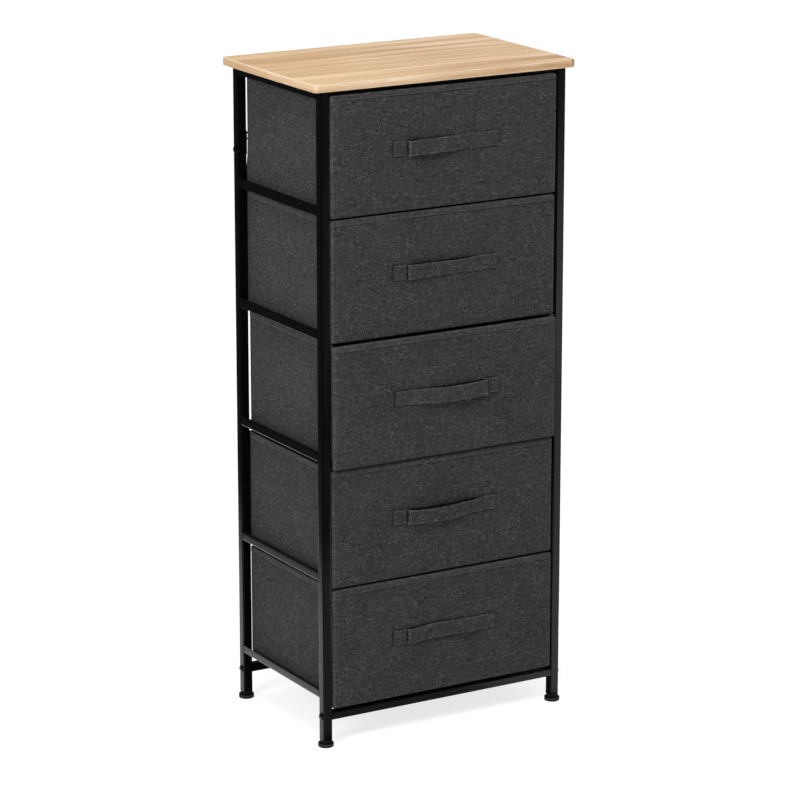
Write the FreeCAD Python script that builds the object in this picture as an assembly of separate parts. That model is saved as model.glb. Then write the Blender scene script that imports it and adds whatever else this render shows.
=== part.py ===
import FreeCAD, Part
import math
import os

V = FreeCAD.Vector
os.makedirs("parts", exist_ok=True)

# ---------------------------------------------------------------- driving dimensions (mm)
# tabletop
TOP_W = 451.0          # left to right
TOP_D = 291.0          # front to back
TOP_T = 12.0           # board thickness
TOP_R = 8.0            # plan corner radius
TOP_EASE = 0.8         # eased upper and lower arris
HEIGHT = 1022.5        # floor to top face

# frame, measured over the posts
FRAME_W = 425.0
FRAME_D = 272.0
POST = 15.5            # square post, outside
POST_R = 2.6           # post corner radius, outside
POST_WALL = 1.1
OVER_FRONT = 8.0       # tabletop past the posts' front faces

# rails
TOP_BAR_T = 4.0        # front and rear top bars, flat
SIDE_TOP_H = 12.7      # left and right top tubes, height
RUN_H = 16.0           # upright leg of a runner
RUN_LEG = 28.0         # flat leg of a runner, from the posts' outer face inward
RUN_T = 1.5            # runner sheet
RUN_Z = [824.0, 636.5, 449.0, 262.5, 76.5]      # runners' lower faces, top to bottom
RUN_H_LOW = 13.0       # upright leg of the lowest runner
BOT_Z0, BOT_Z1 = 42.5, 55.0                      # bottom rails, lower and upper face

# rear tie
TIE_ROD_R = 1.5
TIE_Z = [897.0, 906.0]
TIE_TAB = (1.5, 11.0)  # tab thickness and width
TIE_TAB_Z = (874.0, 910.0)
TIE_BOLT_Z = 882.0

# frame bolts: dome head on the posts' outer side faces
BOLT_R = 3.0
BOLT_HEAD_R = 5.4
BOLT_HEAD_H = 3.2
BOLT_LEN = 26.0
BOLT_Z = 48.75

# board screws
SCREW_R = 2.0
SCREW_HEAD_R = 3.6
SCREW_IN = 8.0         # length in the board
SCREW_X = [-150.0, 0.0, 150.0]

# feet
PAD_R = 12.0
PAD_H = 10.0
STEM_R = 3.0
STEM_TOP = 34.0
PLUG_H = 20.0
PLUG_FLANGE = 1.2
STEM_GAP = 0.05        # radial clearance, stem in plug
POST_FOOT = PAD_H + 0.4 + PLUG_FLANGE            # posts' lower ends

# drawers
N = 5
FRONT_TOP = [1002.8, 816.5, 626.9, 434.0, 247.0]
FRONT_BOT = [820.0, 630.7, 437.0, 250.5, 60.5]
SET = [0.0, 1.2, -6.0, 1.2, 0.0]                 # front face behind (+) or ahead of (-) its usual plane
SIDE_TOP = [1002.5, 818.2, 629.6, 436.2, 249.7]  # top edge of the bin's sides and rear
FRONT_Y = -1.0         # usual front plane, measured from the posts' front faces
DRW_W = 391.6          # width of the fabric front
BIN_W = 390.6          # width over the bin's sides
BIN_D = [259.0, 264.0, 264.5, 264.5, 263.0]      # front face to rear face; the top one clears the rear tie
FRONT_T = 8.0          # padded front panel with its board
WALL = 2.4             # bin fabric with its lining
FLOOR = 2.0
REST = 0.3             # gap over the runners
BOARD_T = 3.0          # front stiffener board
BASE_T = 3.0           # base board
POCKET_GAP = 0.25

# pull straps
STRAP_L = 182.0
STRAP_H = 23.0
STRAP_T = 2.4
STRAP_END = 25.0       # length sewn flat at each end
STRAP_OUT = 15.0       # outermost face in front of the fabric
STRAP_Z = [914.5, 726.5, 535.0, 346.5, 155.5]

# the origin is on the floor, midway in width and in overall depth (straps to board's rear edge)
Y_FRONT = FRONT_Y + min(SET) - STRAP_OUT
Y_REAR = TOP_D - OVER_FRONT
YC = (Y_FRONT + Y_REAR) / 2.0

HW = FRAME_W / 2.0
UNDER = HEIGHT - TOP_T


# ---------------------------------------------------------------- helpers
def box(x0, x1, y0, y1, z0, z1):
    return Part.makeBox(x1 - x0, y1 - y0, z1 - z0, V(x0, y0, z0))


def cyl(r, h, at, d=(0, 0, 1)):
    return Part.makeCylinder(r, h, V(*at), V(*d))


def rounded(x0, x1, y0, y1, r, z0, z1):
    """upright block with rounded plan corners"""
    e = [Part.LineSegment(V(x0 + r, y0, z0), V(x1 - r, y0, z0)).toShape(),
         Part.LineSegment(V(x1, y0 + r, z0), V(x1, y1 - r, z0)).toShape(),
         Part.LineSegment(V(x1 - r, y1, z0), V(x0 + r, y1, z0)).toShape(),
         Part.LineSegment(V(x0, y1 - r, z0), V(x0, y0 + r, z0)).toShape()]
    k = r * (1 - math.sqrt(0.5))
    e.insert(1, Part.Arc(V(x1 - r, y0, z0), V(x1 - k, y0 + k, z0), V(x1, y0 + r, z0)).toShape())
    e.insert(3, Part.Arc(V(x1, y1 - r, z0), V(x1 - k, y1 - k, z0), V(x1 - r, y1, z0)).toShape())
    e.insert(5, Part.Arc(V(x0 + r, y1, z0), V(x0 + k, y1 - k, z0), V(x0, y1 - r, z0)).toShape())
    e.insert(7, Part.Arc(V(x0, y0 + r, z0), V(x0 + k, y0 + k, z0), V(x0 + r, y0, z0)).toShape())
    return Part.Face(Part.Wire(e)).extrude(V(0, 0, z1 - z0))


def prism(points, d):
    """closed polygon swept along d"""
    pts = [V(*p) for p in points] + [V(*points[0])]
    return Part.Face(Part.makePolygon(pts)).extrude(V(*d))


def turned(profile, at):
    """profile of (radius, height) revolved about the upright axis through at"""
    pts = [V(at[0] + r, at[1], at[2] + h) for r, h in profile]
    pts.append(pts[0])
    return Part.Face(Part.makePolygon(pts)).revolve(V(at[0], at[1], at[2]), V(0, 0, 1), 360)


NODES = {}


def keep(name, shape):
    s = shape.copy()
    s.translate(V(0, -YC, 0))
    NODES[name] = s


def group(shapes):
    return shapes[0] if len(shapes) == 1 else Part.makeCompound(shapes)


SIDES = {"left": -1, "right": 1}
CORNER = {"front_left": (-1, 0), "front_right": (1, 0), "rear_left": (-1, 1), "rear_right": (1, 1)}


def corner_xy(name):
    sx, back = CORNER[name]
    return sx * (HW - POST / 2), (FRAME_D - POST / 2) if back else POST / 2


# ---------------------------------------------------------------- tabletop
top = rounded(-TOP_W / 2, TOP_W / 2, -OVER_FRONT, TOP_D - OVER_FRONT, TOP_R, UNDER, HEIGHT)
rims = [e for e in top.Edges if abs(e.BoundBox.ZMin - e.BoundBox.ZMax) < 1e-6]
top = top.makeChamfer(TOP_EASE, rims)
screw_y = [POST / 2, FRAME_D - POST / 2]
for y in screw_y:
    for x in SCREW_X:
        top = top.cut(cyl(SCREW_R + 0.03, SCREW_IN + 0.5, (x, y, UNDER)))
keep("tabletop", top)

# ---------------------------------------------------------------- posts
bolt_holes = []
for s in (-1, 1):
    for y in (POST / 2, FRAME_D - POST / 2):
        bolt_holes.append(cyl(BOLT_R + 0.05, POST + 2, (s * (HW + 1), y, BOLT_Z), (-s, 0, 0)))
    bolt_holes.append(cyl(BOLT_R + 0.05, POST + 2, (s * (HW + 1), FRAME_D - POST / 2, TIE_BOLT_Z), (-s, 0, 0)))
for name in CORNER:
    x, y = corner_xy(name)
    h = POST / 2
    p = rounded(x - h, x + h, y - h, y + h, POST_R, POST_FOOT, UNDER)
    i = h - POST_WALL
    p = p.cut(rounded(x - i, x + i, y - i, y + i, POST_R - POST_WALL, POST_FOOT - 1, UNDER + 1))
    for hole in bolt_holes:
        p = p.cut(hole)
    keep("post_" + name, p)

# ---------------------------------------------------------------- top rails
inner = HW - POST
for name, y in (("front", 0.0), ("rear", FRAME_D - POST)):
    bar = box(-inner, inner, y, y + POST, UNDER - TOP_BAR_T, UNDER)
    for x in SCREW_X:
        bar = bar.cut(cyl(SCREW_R + 0.1, TOP_BAR_T + 2, (x, y + POST / 2, UNDER - TOP_BAR_T - 1)))
        bar = bar.cut(Part.makeCone(SCREW_HEAD_R + 0.6, SCREW_R + 0.1, 2.4,
                                    V(x, y + POST / 2, UNDER - TOP_BAR_T), V(0, 0, 1)))
    keep("top_rail_" + name, bar)
for side, s in SIDES.items():
    a, b = sorted((s * HW, s * (HW - POST)))
    y0, y1 = POST, FRAME_D - POST
    tube = box(a, b, y0, y1, UNDER - SIDE_TOP_H, UNDER)
    tube = tube.cut(box(a + POST_WALL, b - POST_WALL, y0 - 1, y1 + 1,
                        UNDER - SIDE_TOP_H + POST_WALL, UNDER - POST_WALL))
    keep("top_rail_" + side, tube)

# ---------------------------------------------------------------- bottom rails
for name, y in (("front", 0.0), ("rear", FRAME_D - POST)):
    x0, x1 = -inner, inner
    # rectangular tube with rounded long edges, a nut block closing each end
    r = box(x0, x1, y, y + POST, BOT_Z0, BOT_Z1)
    long_edges = [e for e in r.Edges if abs(e.BoundBox.XLength - (x1 - x0)) < 1e-6]
    r = r.makeFillet(2.0, long_edges)
    r = r.cut(box(x0 + 14, x1 - 14, y + POST_WALL, y + POST - POST_WALL, BOT_Z0 + POST_WALL, BOT_Z1 - POST_WALL))
    for s in (-1, 1):
        r = r.cut(cyl(BOLT_R + 0.03, 15, (s * (inner + 1), y + POST / 2, BOLT_Z), (-s, 0, 0)))
    keep("bottom_rail_" + name, r)

# ---------------------------------------------------------------- runners
for n in range(N):
    z = RUN_Z[n]
    h = RUN_H_LOW if n == N - 1 else RUN_H
    for side, s in SIDES.items():
        prof = [(s * HW, 0, z), (s * (HW - RUN_LEG), 0, z), (s * (HW - RUN_LEG), 0, z + RUN_T),
                (s * (HW - RUN_T), 0, z + RUN_T), (s * (HW - RUN_T), 0, z + h), (s * HW, 0, z + h)]
        prof = [(x, POST, zz) for x, _, zz in prof]
        keep("runner_%s_%d" % (side, n + 1), prism(prof, (0, FRAME_D - 2 * POST, 0)))

# ---------------------------------------------------------------- rear tie
ty = FRAME_D - POST / 2
tabs = []
tab_x = inner - TIE_TAB[0]
for s in (-1, 1):
    a, b = sorted((s * inner, s * tab_x))
    t = box(a, b, ty - TIE_TAB[1] / 2, ty + TIE_TAB[1] / 2, TIE_TAB_Z[0], TIE_TAB_Z[1])
    t = t.cut(cyl(BOLT_R + 0.05, 10, (s * (inner + 2), ty, TIE_BOLT_Z), (-s, 0, 0)))
    tabs.append(t)
keep("rear_tie_tabs", group(tabs))
for name, z in zip(("lower", "upper"), TIE_Z):
    keep("rear_tie_rod_" + name, cyl(TIE_ROD_R, 2 * tab_x, (-tab_x, ty, z), (1, 0, 0)))

# ---------------------------------------------------------------- frame bolts
def bolt(s, y, z, length):
    """dome head on the post's outer face, shank inward"""
    ax = V(s, 0, 0)
    at = V(s * HW, y, z)
    big = (BOLT_HEAD_R ** 2 + BOLT_HEAD_H ** 2) / (2 * BOLT_HEAD_H)
    ball = Part.makeSphere(big, at + ax * (BOLT_HEAD_H - big))
    dome = ball.common(Part.makeCylinder(BOLT_HEAD_R, BOLT_HEAD_H, at, ax))
    hexa = [at + ax * (BOLT_HEAD_H - 1.6) + V(0, 1.9 * math.cos(k * math.pi / 3), 1.9 * math.sin(k * math.pi / 3))
            for k in range(6)]
    dome = dome.cut(Part.Face(Part.makePolygon(hexa + [hexa[0]])).extrude(ax * 3))
    shank = Part.makeCylinder(BOLT_R, length, at, ax * -1)
    return dome.fuse(shank).removeSplitter()


bolts = []
for s in (-1, 1):
    for y in (POST / 2, FRAME_D - POST / 2):
        bolts.append(bolt(s, y, BOLT_Z, BOLT_LEN))
    bolts.append(bolt(s, FRAME_D - POST / 2, TIE_BOLT_Z, POST + TIE_TAB[0] + 2.0))
keep("frame_bolts", group(bolts))

# ---------------------------------------------------------------- board screws
screws = []
for y in screw_y:
    for x in SCREW_X:
        z = UNDER - TOP_BAR_T
        screws.append(turned([(0, 0.2), (SCREW_HEAD_R, 0.2), (SCREW_HEAD_R, 0.35), (SCREW_R, 1.9),
                              (SCREW_R, TOP_BAR_T + SCREW_IN - 1.5), (0, TOP_BAR_T + SCREW_IN)], (x, y, z)))
keep("board_screws", group(screws))

# ---------------------------------------------------------------- feet
plugs = []
for name in CORNER:
    x, y = corner_xy(name)
    i = POST / 2 - POST_WALL - 0.05
    h = POST / 2
    z0 = POST_FOOT - PLUG_FLANGE
    g = rounded(x - i, x + i, y - i, y + i, POST_R - POST_WALL - 0.05, z0, POST_FOOT + PLUG_H)
    g = g.fuse(rounded(x - h, x + h, y - h, y + h, POST_R, z0, POST_FOOT)).removeSplitter()
    g = g.cut(cyl(STEM_R + STEM_GAP, 60, (x, y, 0)))
    plugs.append(g)
    c = 2.4
    pad = turned([(0, 0), (PAD_R - 1.4, 0), (PAD_R - 0.4, 0.45), (PAD_R, 1.4), (PAD_R, 6.2),
                  (PAD_R - 0.5, 7.4), (PAD_R - 1.7, 8.6), (PAD_R - 3.4, PAD_H - 0.3), (PAD_R - 4.6, PAD_H),
                  (0, PAD_H)], (x, y, 0))
    pad = pad.cut(cyl(STEM_R, 10, (x, y, 4.0)))
    keep("foot_pad_" + name, pad)
    keep("foot_stem_" + name, turned([(0, 4.0), (STEM_R, 4.0), (STEM_R, STEM_TOP - 1.2), (STEM_R - 1.2, STEM_TOP),
                                      (0, STEM_TOP)], (x, y, 0)))
keep("foot_plugs", group(plugs))

# ---------------------------------------------------------------- drawers
for n in range(N):
    tag = "drawer_%d_" % (n + 1)
    yf = FRONT_Y + SET[n]
    yr = yf + BIN_D[n]
    zf, zt = FRONT_BOT[n], FRONT_TOP[n]
    zb = RUN_Z[n] + RUN_T + REST
    zs = SIDE_TOP[n]
    hw, hb = DRW_W / 2, BIN_W / 2
    # front panel hangs in front of the runners; the bin behind it stands on them
    front = box(-hw, hw, yf, yf + FRONT_T, zf, zt)
    rim = [e for e in front.Edges if abs(e.BoundBox.YLength - FRONT_T) < 1e-6]
    front = front.makeFillet(4.0, rim)
    face_rim = [e for e in front.Edges if abs(e.BoundBox.YMin - yf) < 1e-6 and abs(e.BoundBox.YMax - yf) < 1e-6]
    front = front.makeFillet(1.6, face_rim)
    # the sides' top edges rise a little from the front panel to the rear
    yb = yf + FRONT_T
    side_prof = [(-hb, yb - 1, zb), (-hb, yr, zb), (-hb, yr, zs), (-hb, yb + 60, zs), (-hb, yb - 1, min(zt, zs) - 0.5)]
    body = prism(side_prof, (2 * hb, 0, 0))
    upright = [e for e in body.Edges if abs(e.BoundBox.YMin - yr) < 1e-6 and abs(e.BoundBox.YMax - yr) < 1e-6
               and e.BoundBox.ZLength > 50]
    body = body.makeFillet(6.0, upright)
    hollow = box(-hb + WALL, hb - WALL, yb, yr - WALL, zb + FLOOR, zt + 60)
    upright = [e for e in hollow.Edges if abs(e.BoundBox.YMin - (yr - WALL)) < 1e-6 and
               abs(e.BoundBox.YMax - (yr - WALL)) < 1e-6 and e.BoundBox.ZLength > 50]
    hollow = hollow.makeFillet(6.0 - WALL, upright)
    shell = front.fuse(body.cut(hollow)).removeSplitter()
    # pocket for the front board, open along its lower edge
    py0 = yf + 2.6
    shell = shell.cut(box(-hw + 6, hw - 6, py0, py0 + BOARD_T + 2 * POCKET_GAP, zf - 1, zt - 7))
    keep(tag + "bin", shell)
    keep(tag + "front_board", box(-hw + 6.5, hw - 6.5, py0 + POCKET_GAP, py0 + POCKET_GAP + BOARD_T, zf + 2, zt - 7.5))
    base = box(-hb + WALL + 1, hb - WALL - 1, yb + 0.8, yr - WALL - 1, zb + FLOOR, zb + FLOOR + BASE_T)
    upright = [e for e in base.Edges if e.BoundBox.ZLength > BASE_T - 0.1 and e.BoundBox.YMax > yr - WALL - 1.1]
    base = base.makeFillet(5.0, upright)
    keep(tag + "base_board", base)
    # pull strap: flat ends on the fabric, the middle standing off it
    L, E, O, T = STRAP_L / 2, STRAP_END, STRAP_OUT, STRAP_T
    outer = [(-L, 0), (-L, T), (-L + E, T), (-L + E + 4, T + 2.0), (-L + E + 11, O - 3.6), (-L + E + 20, O - 0.6),
             (-L + E + 32, O), (0, O)]
    innr = [(-L + E, 0), (-L + E + 5.6, 1.2), (-L + E + 13.5, O - T - 4.0), (-L + E + 21, O - T - 0.8),
            (-L + E + 32, O - T), (0, O - T)]
    ring = outer + [(-x, d) for x, d in reversed(outer[:-1])]
    ring += [(-x, d) for x, d in innr[:-1]] + list(reversed(innr))
    pts = [(x, yf - d, STRAP_Z[n] - STRAP_H / 2) for x, d in ring]
    keep(tag + "strap", prism(pts, (0, 0, STRAP_H)))

# ---------------------------------------------------------------- write
bb = FreeCAD.BoundBox()
for name, shape in NODES.items():
    assert shape.isValid(), name
    assert shape.Volume > 0, name
    bb.add(shape.BoundBox)
    shape.exportStep("parts/%s.step" % name)
print(len(NODES), "nodes; box", [round(v, 2) for v in (bb.XMin, bb.XMax, bb.YMin, bb.YMax, bb.ZMin, bb.ZMax)])
print("YC", YC)
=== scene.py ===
import math

import bmesh
import bpy
import numpy as np
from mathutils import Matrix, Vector


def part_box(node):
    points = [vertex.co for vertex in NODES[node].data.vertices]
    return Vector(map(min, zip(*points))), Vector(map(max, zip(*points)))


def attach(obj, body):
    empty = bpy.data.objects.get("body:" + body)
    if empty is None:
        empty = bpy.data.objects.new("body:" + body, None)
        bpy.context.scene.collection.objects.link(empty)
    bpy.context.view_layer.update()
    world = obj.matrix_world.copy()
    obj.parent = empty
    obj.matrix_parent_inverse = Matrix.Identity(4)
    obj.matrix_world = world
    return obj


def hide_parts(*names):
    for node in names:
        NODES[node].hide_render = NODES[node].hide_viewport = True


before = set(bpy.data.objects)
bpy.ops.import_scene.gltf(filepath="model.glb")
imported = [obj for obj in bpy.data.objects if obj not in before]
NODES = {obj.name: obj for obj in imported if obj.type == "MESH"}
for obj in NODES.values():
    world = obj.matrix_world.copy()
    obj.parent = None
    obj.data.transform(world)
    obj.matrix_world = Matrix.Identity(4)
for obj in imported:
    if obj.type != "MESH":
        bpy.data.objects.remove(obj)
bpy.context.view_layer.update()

# ---------------------------------------------------------------------------------------------
# The dresser's numbers, in mm, in the CAD frame (post front faces at Y = -130.5)
# ---------------------------------------------------------------------------------------------
Y0 = -130.5                      # the posts' front faces
FRONT_W = 391.6                  # a drawer front's width
FRONT_T = 8.0                    # and its thickness
BIN_HALF = 195.3                 # outer face of a drawer's side wall
BIN_DEPTH = 259.0                # front face to rear face
SET = [0.0, 1.2, -6.0, 1.2, 0.0]                 # how far each front stands back
FRONT_TOP = [1002.8, 816.5, 626.9, 434.0, 247.0]
FRONT_BOT = [820.0, 630.7, 437.0, 250.5, 60.5]
SIDE_TOP = [1002.5, 818.2, 629.6, 436.2, 249.7]
RUN_Z = [824.0, 636.5, 449.0, 262.5, 76.5]       # runners' lower faces
STRAP_Z = [914.5, 726.5, 535.0, 346.5, 155.5]    # strap centres
POST_X, POST_YF, POST_YR = 204.75, Y0 + 7.75, Y0 + 264.25


# ---------------------------------------------------------------------------------------------
# Small tools
# ---------------------------------------------------------------------------------------------
def pnoise(x, y, seed=0):
    """Gradient noise, about -1 to 1, the same on every run."""
    x, y = np.broadcast_arrays(np.asarray(x, float), np.asarray(y, float))
    xi, yi = np.floor(x).astype(np.int64), np.floor(y).astype(np.int64)
    xf, yf = x - xi, y - yi
    u = xf * xf * xf * (xf * (xf * 6 - 15) + 10)
    v = yf * yf * yf * (yf * (yf * 6 - 15) + 10)

    def g(ix, iy, dx, dy):
        h = (ix * 374761393 + iy * 668265263 + (seed + 7) * 974634777) & 0xFFFFFFFF
        h = ((h ^ (h >> 13)) * 1274126177) & 0xFFFFFFFF
        a = ((h ^ (h >> 16)) & 0xFFFFFFFF) / 4294967296.0 * 2 * np.pi
        return np.cos(a) * dx + np.sin(a) * dy

    a = g(xi, yi, xf, yf)
    b = g(xi + 1, yi, xf - 1, yf)
    c = g(xi, yi + 1, xf, yf - 1)
    d = g(xi + 1, yi + 1, xf - 1, yf - 1)
    return 1.45 * ((a * (1 - u) + b * u) * (1 - v) + (c * (1 - u) + d * u) * v)


def smooth(a, b, x):
    t = np.clip((np.asarray(x, float) - a) / (b - a), 0, 1)
    return t * t * (3 - 2 * t)


def bump(x, c, w):
    return np.exp(-(((np.asarray(x, float) - c) / w) ** 2))


def spaced(lo, hi, step, near_lo, near_hi):
    """Positions from lo to hi: near_lo and near_hi are fine offsets in from each end, even steps between."""
    a = [lo + d for d in near_lo]
    b = [hi - d for d in near_hi]
    n = max(1, int(math.ceil((b[-1] - a[-1]) / step)))
    mid = np.linspace(a[-1], b[-1], n + 1)[1:-1]
    return np.array(a + list(mid) + b[::-1])


class Build:
    """Collects grids and faces in mm with one UV map, and makes one mesh in metres."""

    def __init__(self):
        self.v, self.f, self.uv, self.m, self.w, self.n = [], [], [], [], [], 0

    def verts(self, p, painted_light=0.0):
        """Per-vertex painted light: below 0 painted shade in creases and recesses, above 0 a painted highlight where an
        edge or rim catches the light.
        """
        p = np.asarray(p, float).reshape(-1, 3)
        self.v.append(p)
        self.w.append(np.broadcast_to(np.asarray(painted_light, float).reshape(-1), (len(p),)).astype(np.float32))
        base = self.n
        self.n += len(p)
        return base

    def face(self, idx, uv, mat=0):
        self.f.append(tuple(int(i) for i in idx))
        self.uv.extend([tuple(map(float, c)) for c in uv])
        self.m.append(mat)

    def grid(self, P, UV, mat=0, close=False, flip=False, painted_light=0.0):
        """P: (a, b, 3) points; UV: (a, b, 2) in mm. close joins the last row to the first (UV then has a+1 rows)."""
        P = np.asarray(P, float)
        na, nb, _ = P.shape
        base = self.verts(P, painted_light)
        idx = np.arange(na * nb).reshape(na, nb) + base
        if close:
            idx = np.vstack([idx, idx[:1]])
        UV = np.asarray(UV, float)
        quads = np.stack([idx[:-1, :-1], idx[1:, :-1], idx[1:, 1:], idx[:-1, 1:]], -1).reshape(-1, 4)
        uvs = np.stack([UV[:-1, :-1], UV[1:, :-1], UV[1:, 1:], UV[:-1, 1:]], -2).reshape(-1, 4, 2)
        if flip:
            quads, uvs = quads[:, ::-1], uvs[:, ::-1]
        self.f.extend(map(tuple, quads.tolist()))
        self.uv.extend(map(tuple, uvs.reshape(-1, 2).tolist()))
        self.m.extend([mat] * len(quads) if np.isscalar(mat) else np.asarray(mat, int).reshape(-1).tolist())
        return idx

    def make(self, name, materials, merge=2e-6, smooth_angle=40.0, recalc=True):
        me = bpy.data.meshes.new(name)
        co = np.concatenate(self.v) / 1000.0
        me.from_pydata(co.tolist(), [], self.f)
        layer = me.uv_layers.new(name="weave")
        layer.data.foreach_set("uv", (np.array(self.uv, np.float32) / 1000.0).ravel())
        me.polygons.foreach_set("material_index", np.array(self.m, np.int32))
        painted_light = np.concatenate(self.w)
        if np.any(painted_light):
            me.attributes.new("painted_light", "FLOAT", "POINT").data.foreach_set("value", painted_light)
        bm = bmesh.new()
        bm.from_mesh(me)
        if merge:
            bmesh.ops.remove_doubles(bm, verts=bm.verts, dist=merge)
        if recalc:
            bmesh.ops.recalc_face_normals(bm, faces=bm.faces)
        cos = math.cos(math.radians(smooth_angle))
        for e in bm.edges:
            if len(e.link_faces) == 2:
                e.smooth = e.link_faces[0].normal.dot(e.link_faces[1].normal) > cos
        for f in bm.faces:
            f.smooth = True
        bm.to_mesh(me)
        bm.free()
        me.validate()
        o = bpy.data.objects.new(name, me)
        bpy.context.scene.collection.objects.link(o)
        for m in materials if isinstance(materials, (list, tuple)) else [materials]:
            me.materials.append(m)
        return o


def stitches(b, pts, normals, pitch=4.0, length=3.0, radius=0.24, sink=0.08, skip_ends=1.5, mat=0, seed=0):
    """Thread stitches along a line of points (mm): each is a short, slightly arched capsule."""
    pts, normals = np.asarray(pts, float), np.asarray(normals, float)
    seg = np.linalg.norm(np.diff(pts, axis=0), axis=1)
    s = np.concatenate([[0], np.cumsum(seg)])
    total = s[-1]
    count = int((total - 2 * skip_ends) // pitch)
    if count < 1:
        return
    start = (total - count * pitch) / 2

    def at(q):
        p = np.stack([np.interp(q, s, pts[:, k]) for k in range(3)], -1)
        n = np.stack([np.interp(q, s, normals[:, k]) for k in range(3)], -1)
        return p, n / np.linalg.norm(n, axis=-1, keepdims=True)

    rings = np.array([0.0, 0.08, 0.3, 0.5, 0.7, 0.92, 1.0])
    rad = np.array([0.15, 0.75, 1.0, 1.05, 1.0, 0.75, 0.15]) * radius
    lift = np.array([-0.9, -0.2, 0.45, 0.6, 0.45, -0.2, -0.9]) * radius
    ang = np.linspace(0, 2 * np.pi, 7)[:-1]
    for k in range(count):
        jig = 0.25 * float(pnoise(k * 0.73 + seed, 0.37, 5))
        q = start + k * pitch + (pitch - length) / 2 + jig + rings * length
        p, n = at(q)
        t = np.gradient(p, axis=0)
        t /= np.linalg.norm(t, axis=1, keepdims=True)
        side = np.cross(n, t)
        side /= np.linalg.norm(side, axis=1, keepdims=True)
        up = np.cross(t, side)
        p = p + n * (lift - sink)[:, None] + side * (0.12 * float(pnoise(k * 0.9 + seed, 4.2, 9)))
        ring = (p[:, None, :] + rad[:, None, None] * (np.cos(ang)[None, :, None] * side[:, None, :]
                                                     + np.sin(ang)[None, :, None] * up[:, None, :]))
        P = np.transpose(ring, (1, 0, 2))
        U = np.zeros((len(ang) + 1, len(rings), 2))
        U[..., 0] = q[None, :]
        U[..., 1] = np.linspace(0, 1.5, len(ang) + 1)[:, None]
        idx = b.grid(P, U, mat=mat, close=True)
        b.face(idx[:-1, 0][::-1], [(0, 0)] * 6, mat)
        b.face(idx[:-1, -1], [(0, 0)] * 6, mat)


# ---------------------------------------------------------------------------------------------
# Materials
# ---------------------------------------------------------------------------------------------
class Mat:
    """A Principled material and a few helpers to build its node tree."""

    def __init__(self, name, **sockets):
        self.m = bpy.data.materials.new(name)
        self.m.use_nodes = True
        self.t = self.m.node_tree
        self.bsdf = next(n for n in self.t.nodes if n.type == "BSDF_PRINCIPLED")
        for k, v in sockets.items():
            self.bsdf.inputs[k.replace("_", " ")].default_value = v

    def node(self, kind, **props):
        n = self.t.nodes.new(kind)
        for k, v in props.items():
            setattr(n, k, v)
        return n

    def link(self, a, b):
        self.t.links.new(a, b)
        return a

    def put(self, socket, x):
        if isinstance(x, bpy.types.NodeSocket):
            self.t.links.new(x, socket)
        else:
            socket.default_value = x

    def math(self, op, a, b=None, c=None, clamp=False):
        n = self.node("ShaderNodeMath", operation=op, use_clamp=clamp)
        self.put(n.inputs[0], a)
        if b is not None:
            self.put(n.inputs[1], b)
        if c is not None:
            self.put(n.inputs[2], c)
        return n.outputs[0]

    def vec(self, x, y, z=0.0):
        n = self.node("ShaderNodeCombineXYZ")
        for s, v in zip(n.inputs, (x, y, z)):
            self.put(s, v)
        return n.outputs[0]

    def xyz(self, v):
        n = self.node("ShaderNodeSeparateXYZ")
        self.put(n.inputs[0], v)
        return n.outputs

    def noise(self, v, scale=1.0, detail=2.0, rough=0.5, dist=0.0, dims="3D"):
        n = self.node("ShaderNodeTexNoise", noise_dimensions=dims)
        if v is not None:
            self.put(n.inputs["Vector"], v)
        n.inputs["Scale"].default_value = scale
        n.inputs["Detail"].default_value = detail
        n.inputs["Roughness"].default_value = rough
        n.inputs["Distortion"].default_value = dist
        return n.outputs[0]

    def white(self, x, y, z):
        n = self.node("ShaderNodeTexWhiteNoise", noise_dimensions="3D")
        self.put(n.inputs["Vector"], self.vec(x, y, z))
        return n.outputs["Value"]

    def attribute(self, name):
        return self.node("ShaderNodeAttribute", attribute_name=name).outputs["Fac"]

    def ramp(self, x, lo, hi, a=0.0, b=1.0, interp="SMOOTHSTEP"):
        n = self.node("ShaderNodeMapRange", interpolation_type=interp)
        self.put(n.inputs[0], x)
        for k, v in zip((1, 2, 3, 4), (lo, hi, a, b)):
            n.inputs[k].default_value = v
        return n.outputs[0]

    def colours(self, x, stops):
        n = self.node("ShaderNodeValToRGB")
        self.put(n.inputs[0], x)
        e = n.color_ramp.elements
        while len(e) < len(stops):
            e.new(0.5)
        for el, (p, c) in zip(e, stops):
            el.position = p
            el.color = (*c, 1.0)
        return n.outputs[0]

    def mix(self, f, a, b, kind="MIX"):
        n = self.node("ShaderNodeMix", data_type="RGBA", blend_type=kind)
        self.put(n.inputs[0], f)
        for s, v in ((n.inputs[6], a), (n.inputs[7], b)):
            self.put(s, (*v, 1.0) if isinstance(v, tuple) and len(v) == 3 else v)
        return n.outputs[2]

    def scale_colour(self, col, f):
        """col times a value."""
        return self.mix(1.0, col, self.vec(f, f, f), "MULTIPLY")

    def uv(self, name="weave"):
        n = self.node("ShaderNodeUVMap", uv_map=name)
        return n.outputs[0]

    def object_co(self):
        return self.node("ShaderNodeTexCoord").outputs["Object"]

    def bump(self, height, distance, strength=1.0, normal=None):
        n = self.node("ShaderNodeBump")
        n.inputs["Strength"].default_value = strength
        n.inputs["Distance"].default_value = distance
        self.put(n.inputs["Height"], height)
        if normal is not None:
            self.put(n.inputs["Normal"], normal)
        return n.outputs[0]


def srgb(r, g, b):
    return tuple(((c / 255) / 12.92 if c / 255 <= 0.04045 else ((c / 255 + 0.055) / 1.055) ** 2.4) for c in (r, g, b))


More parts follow.
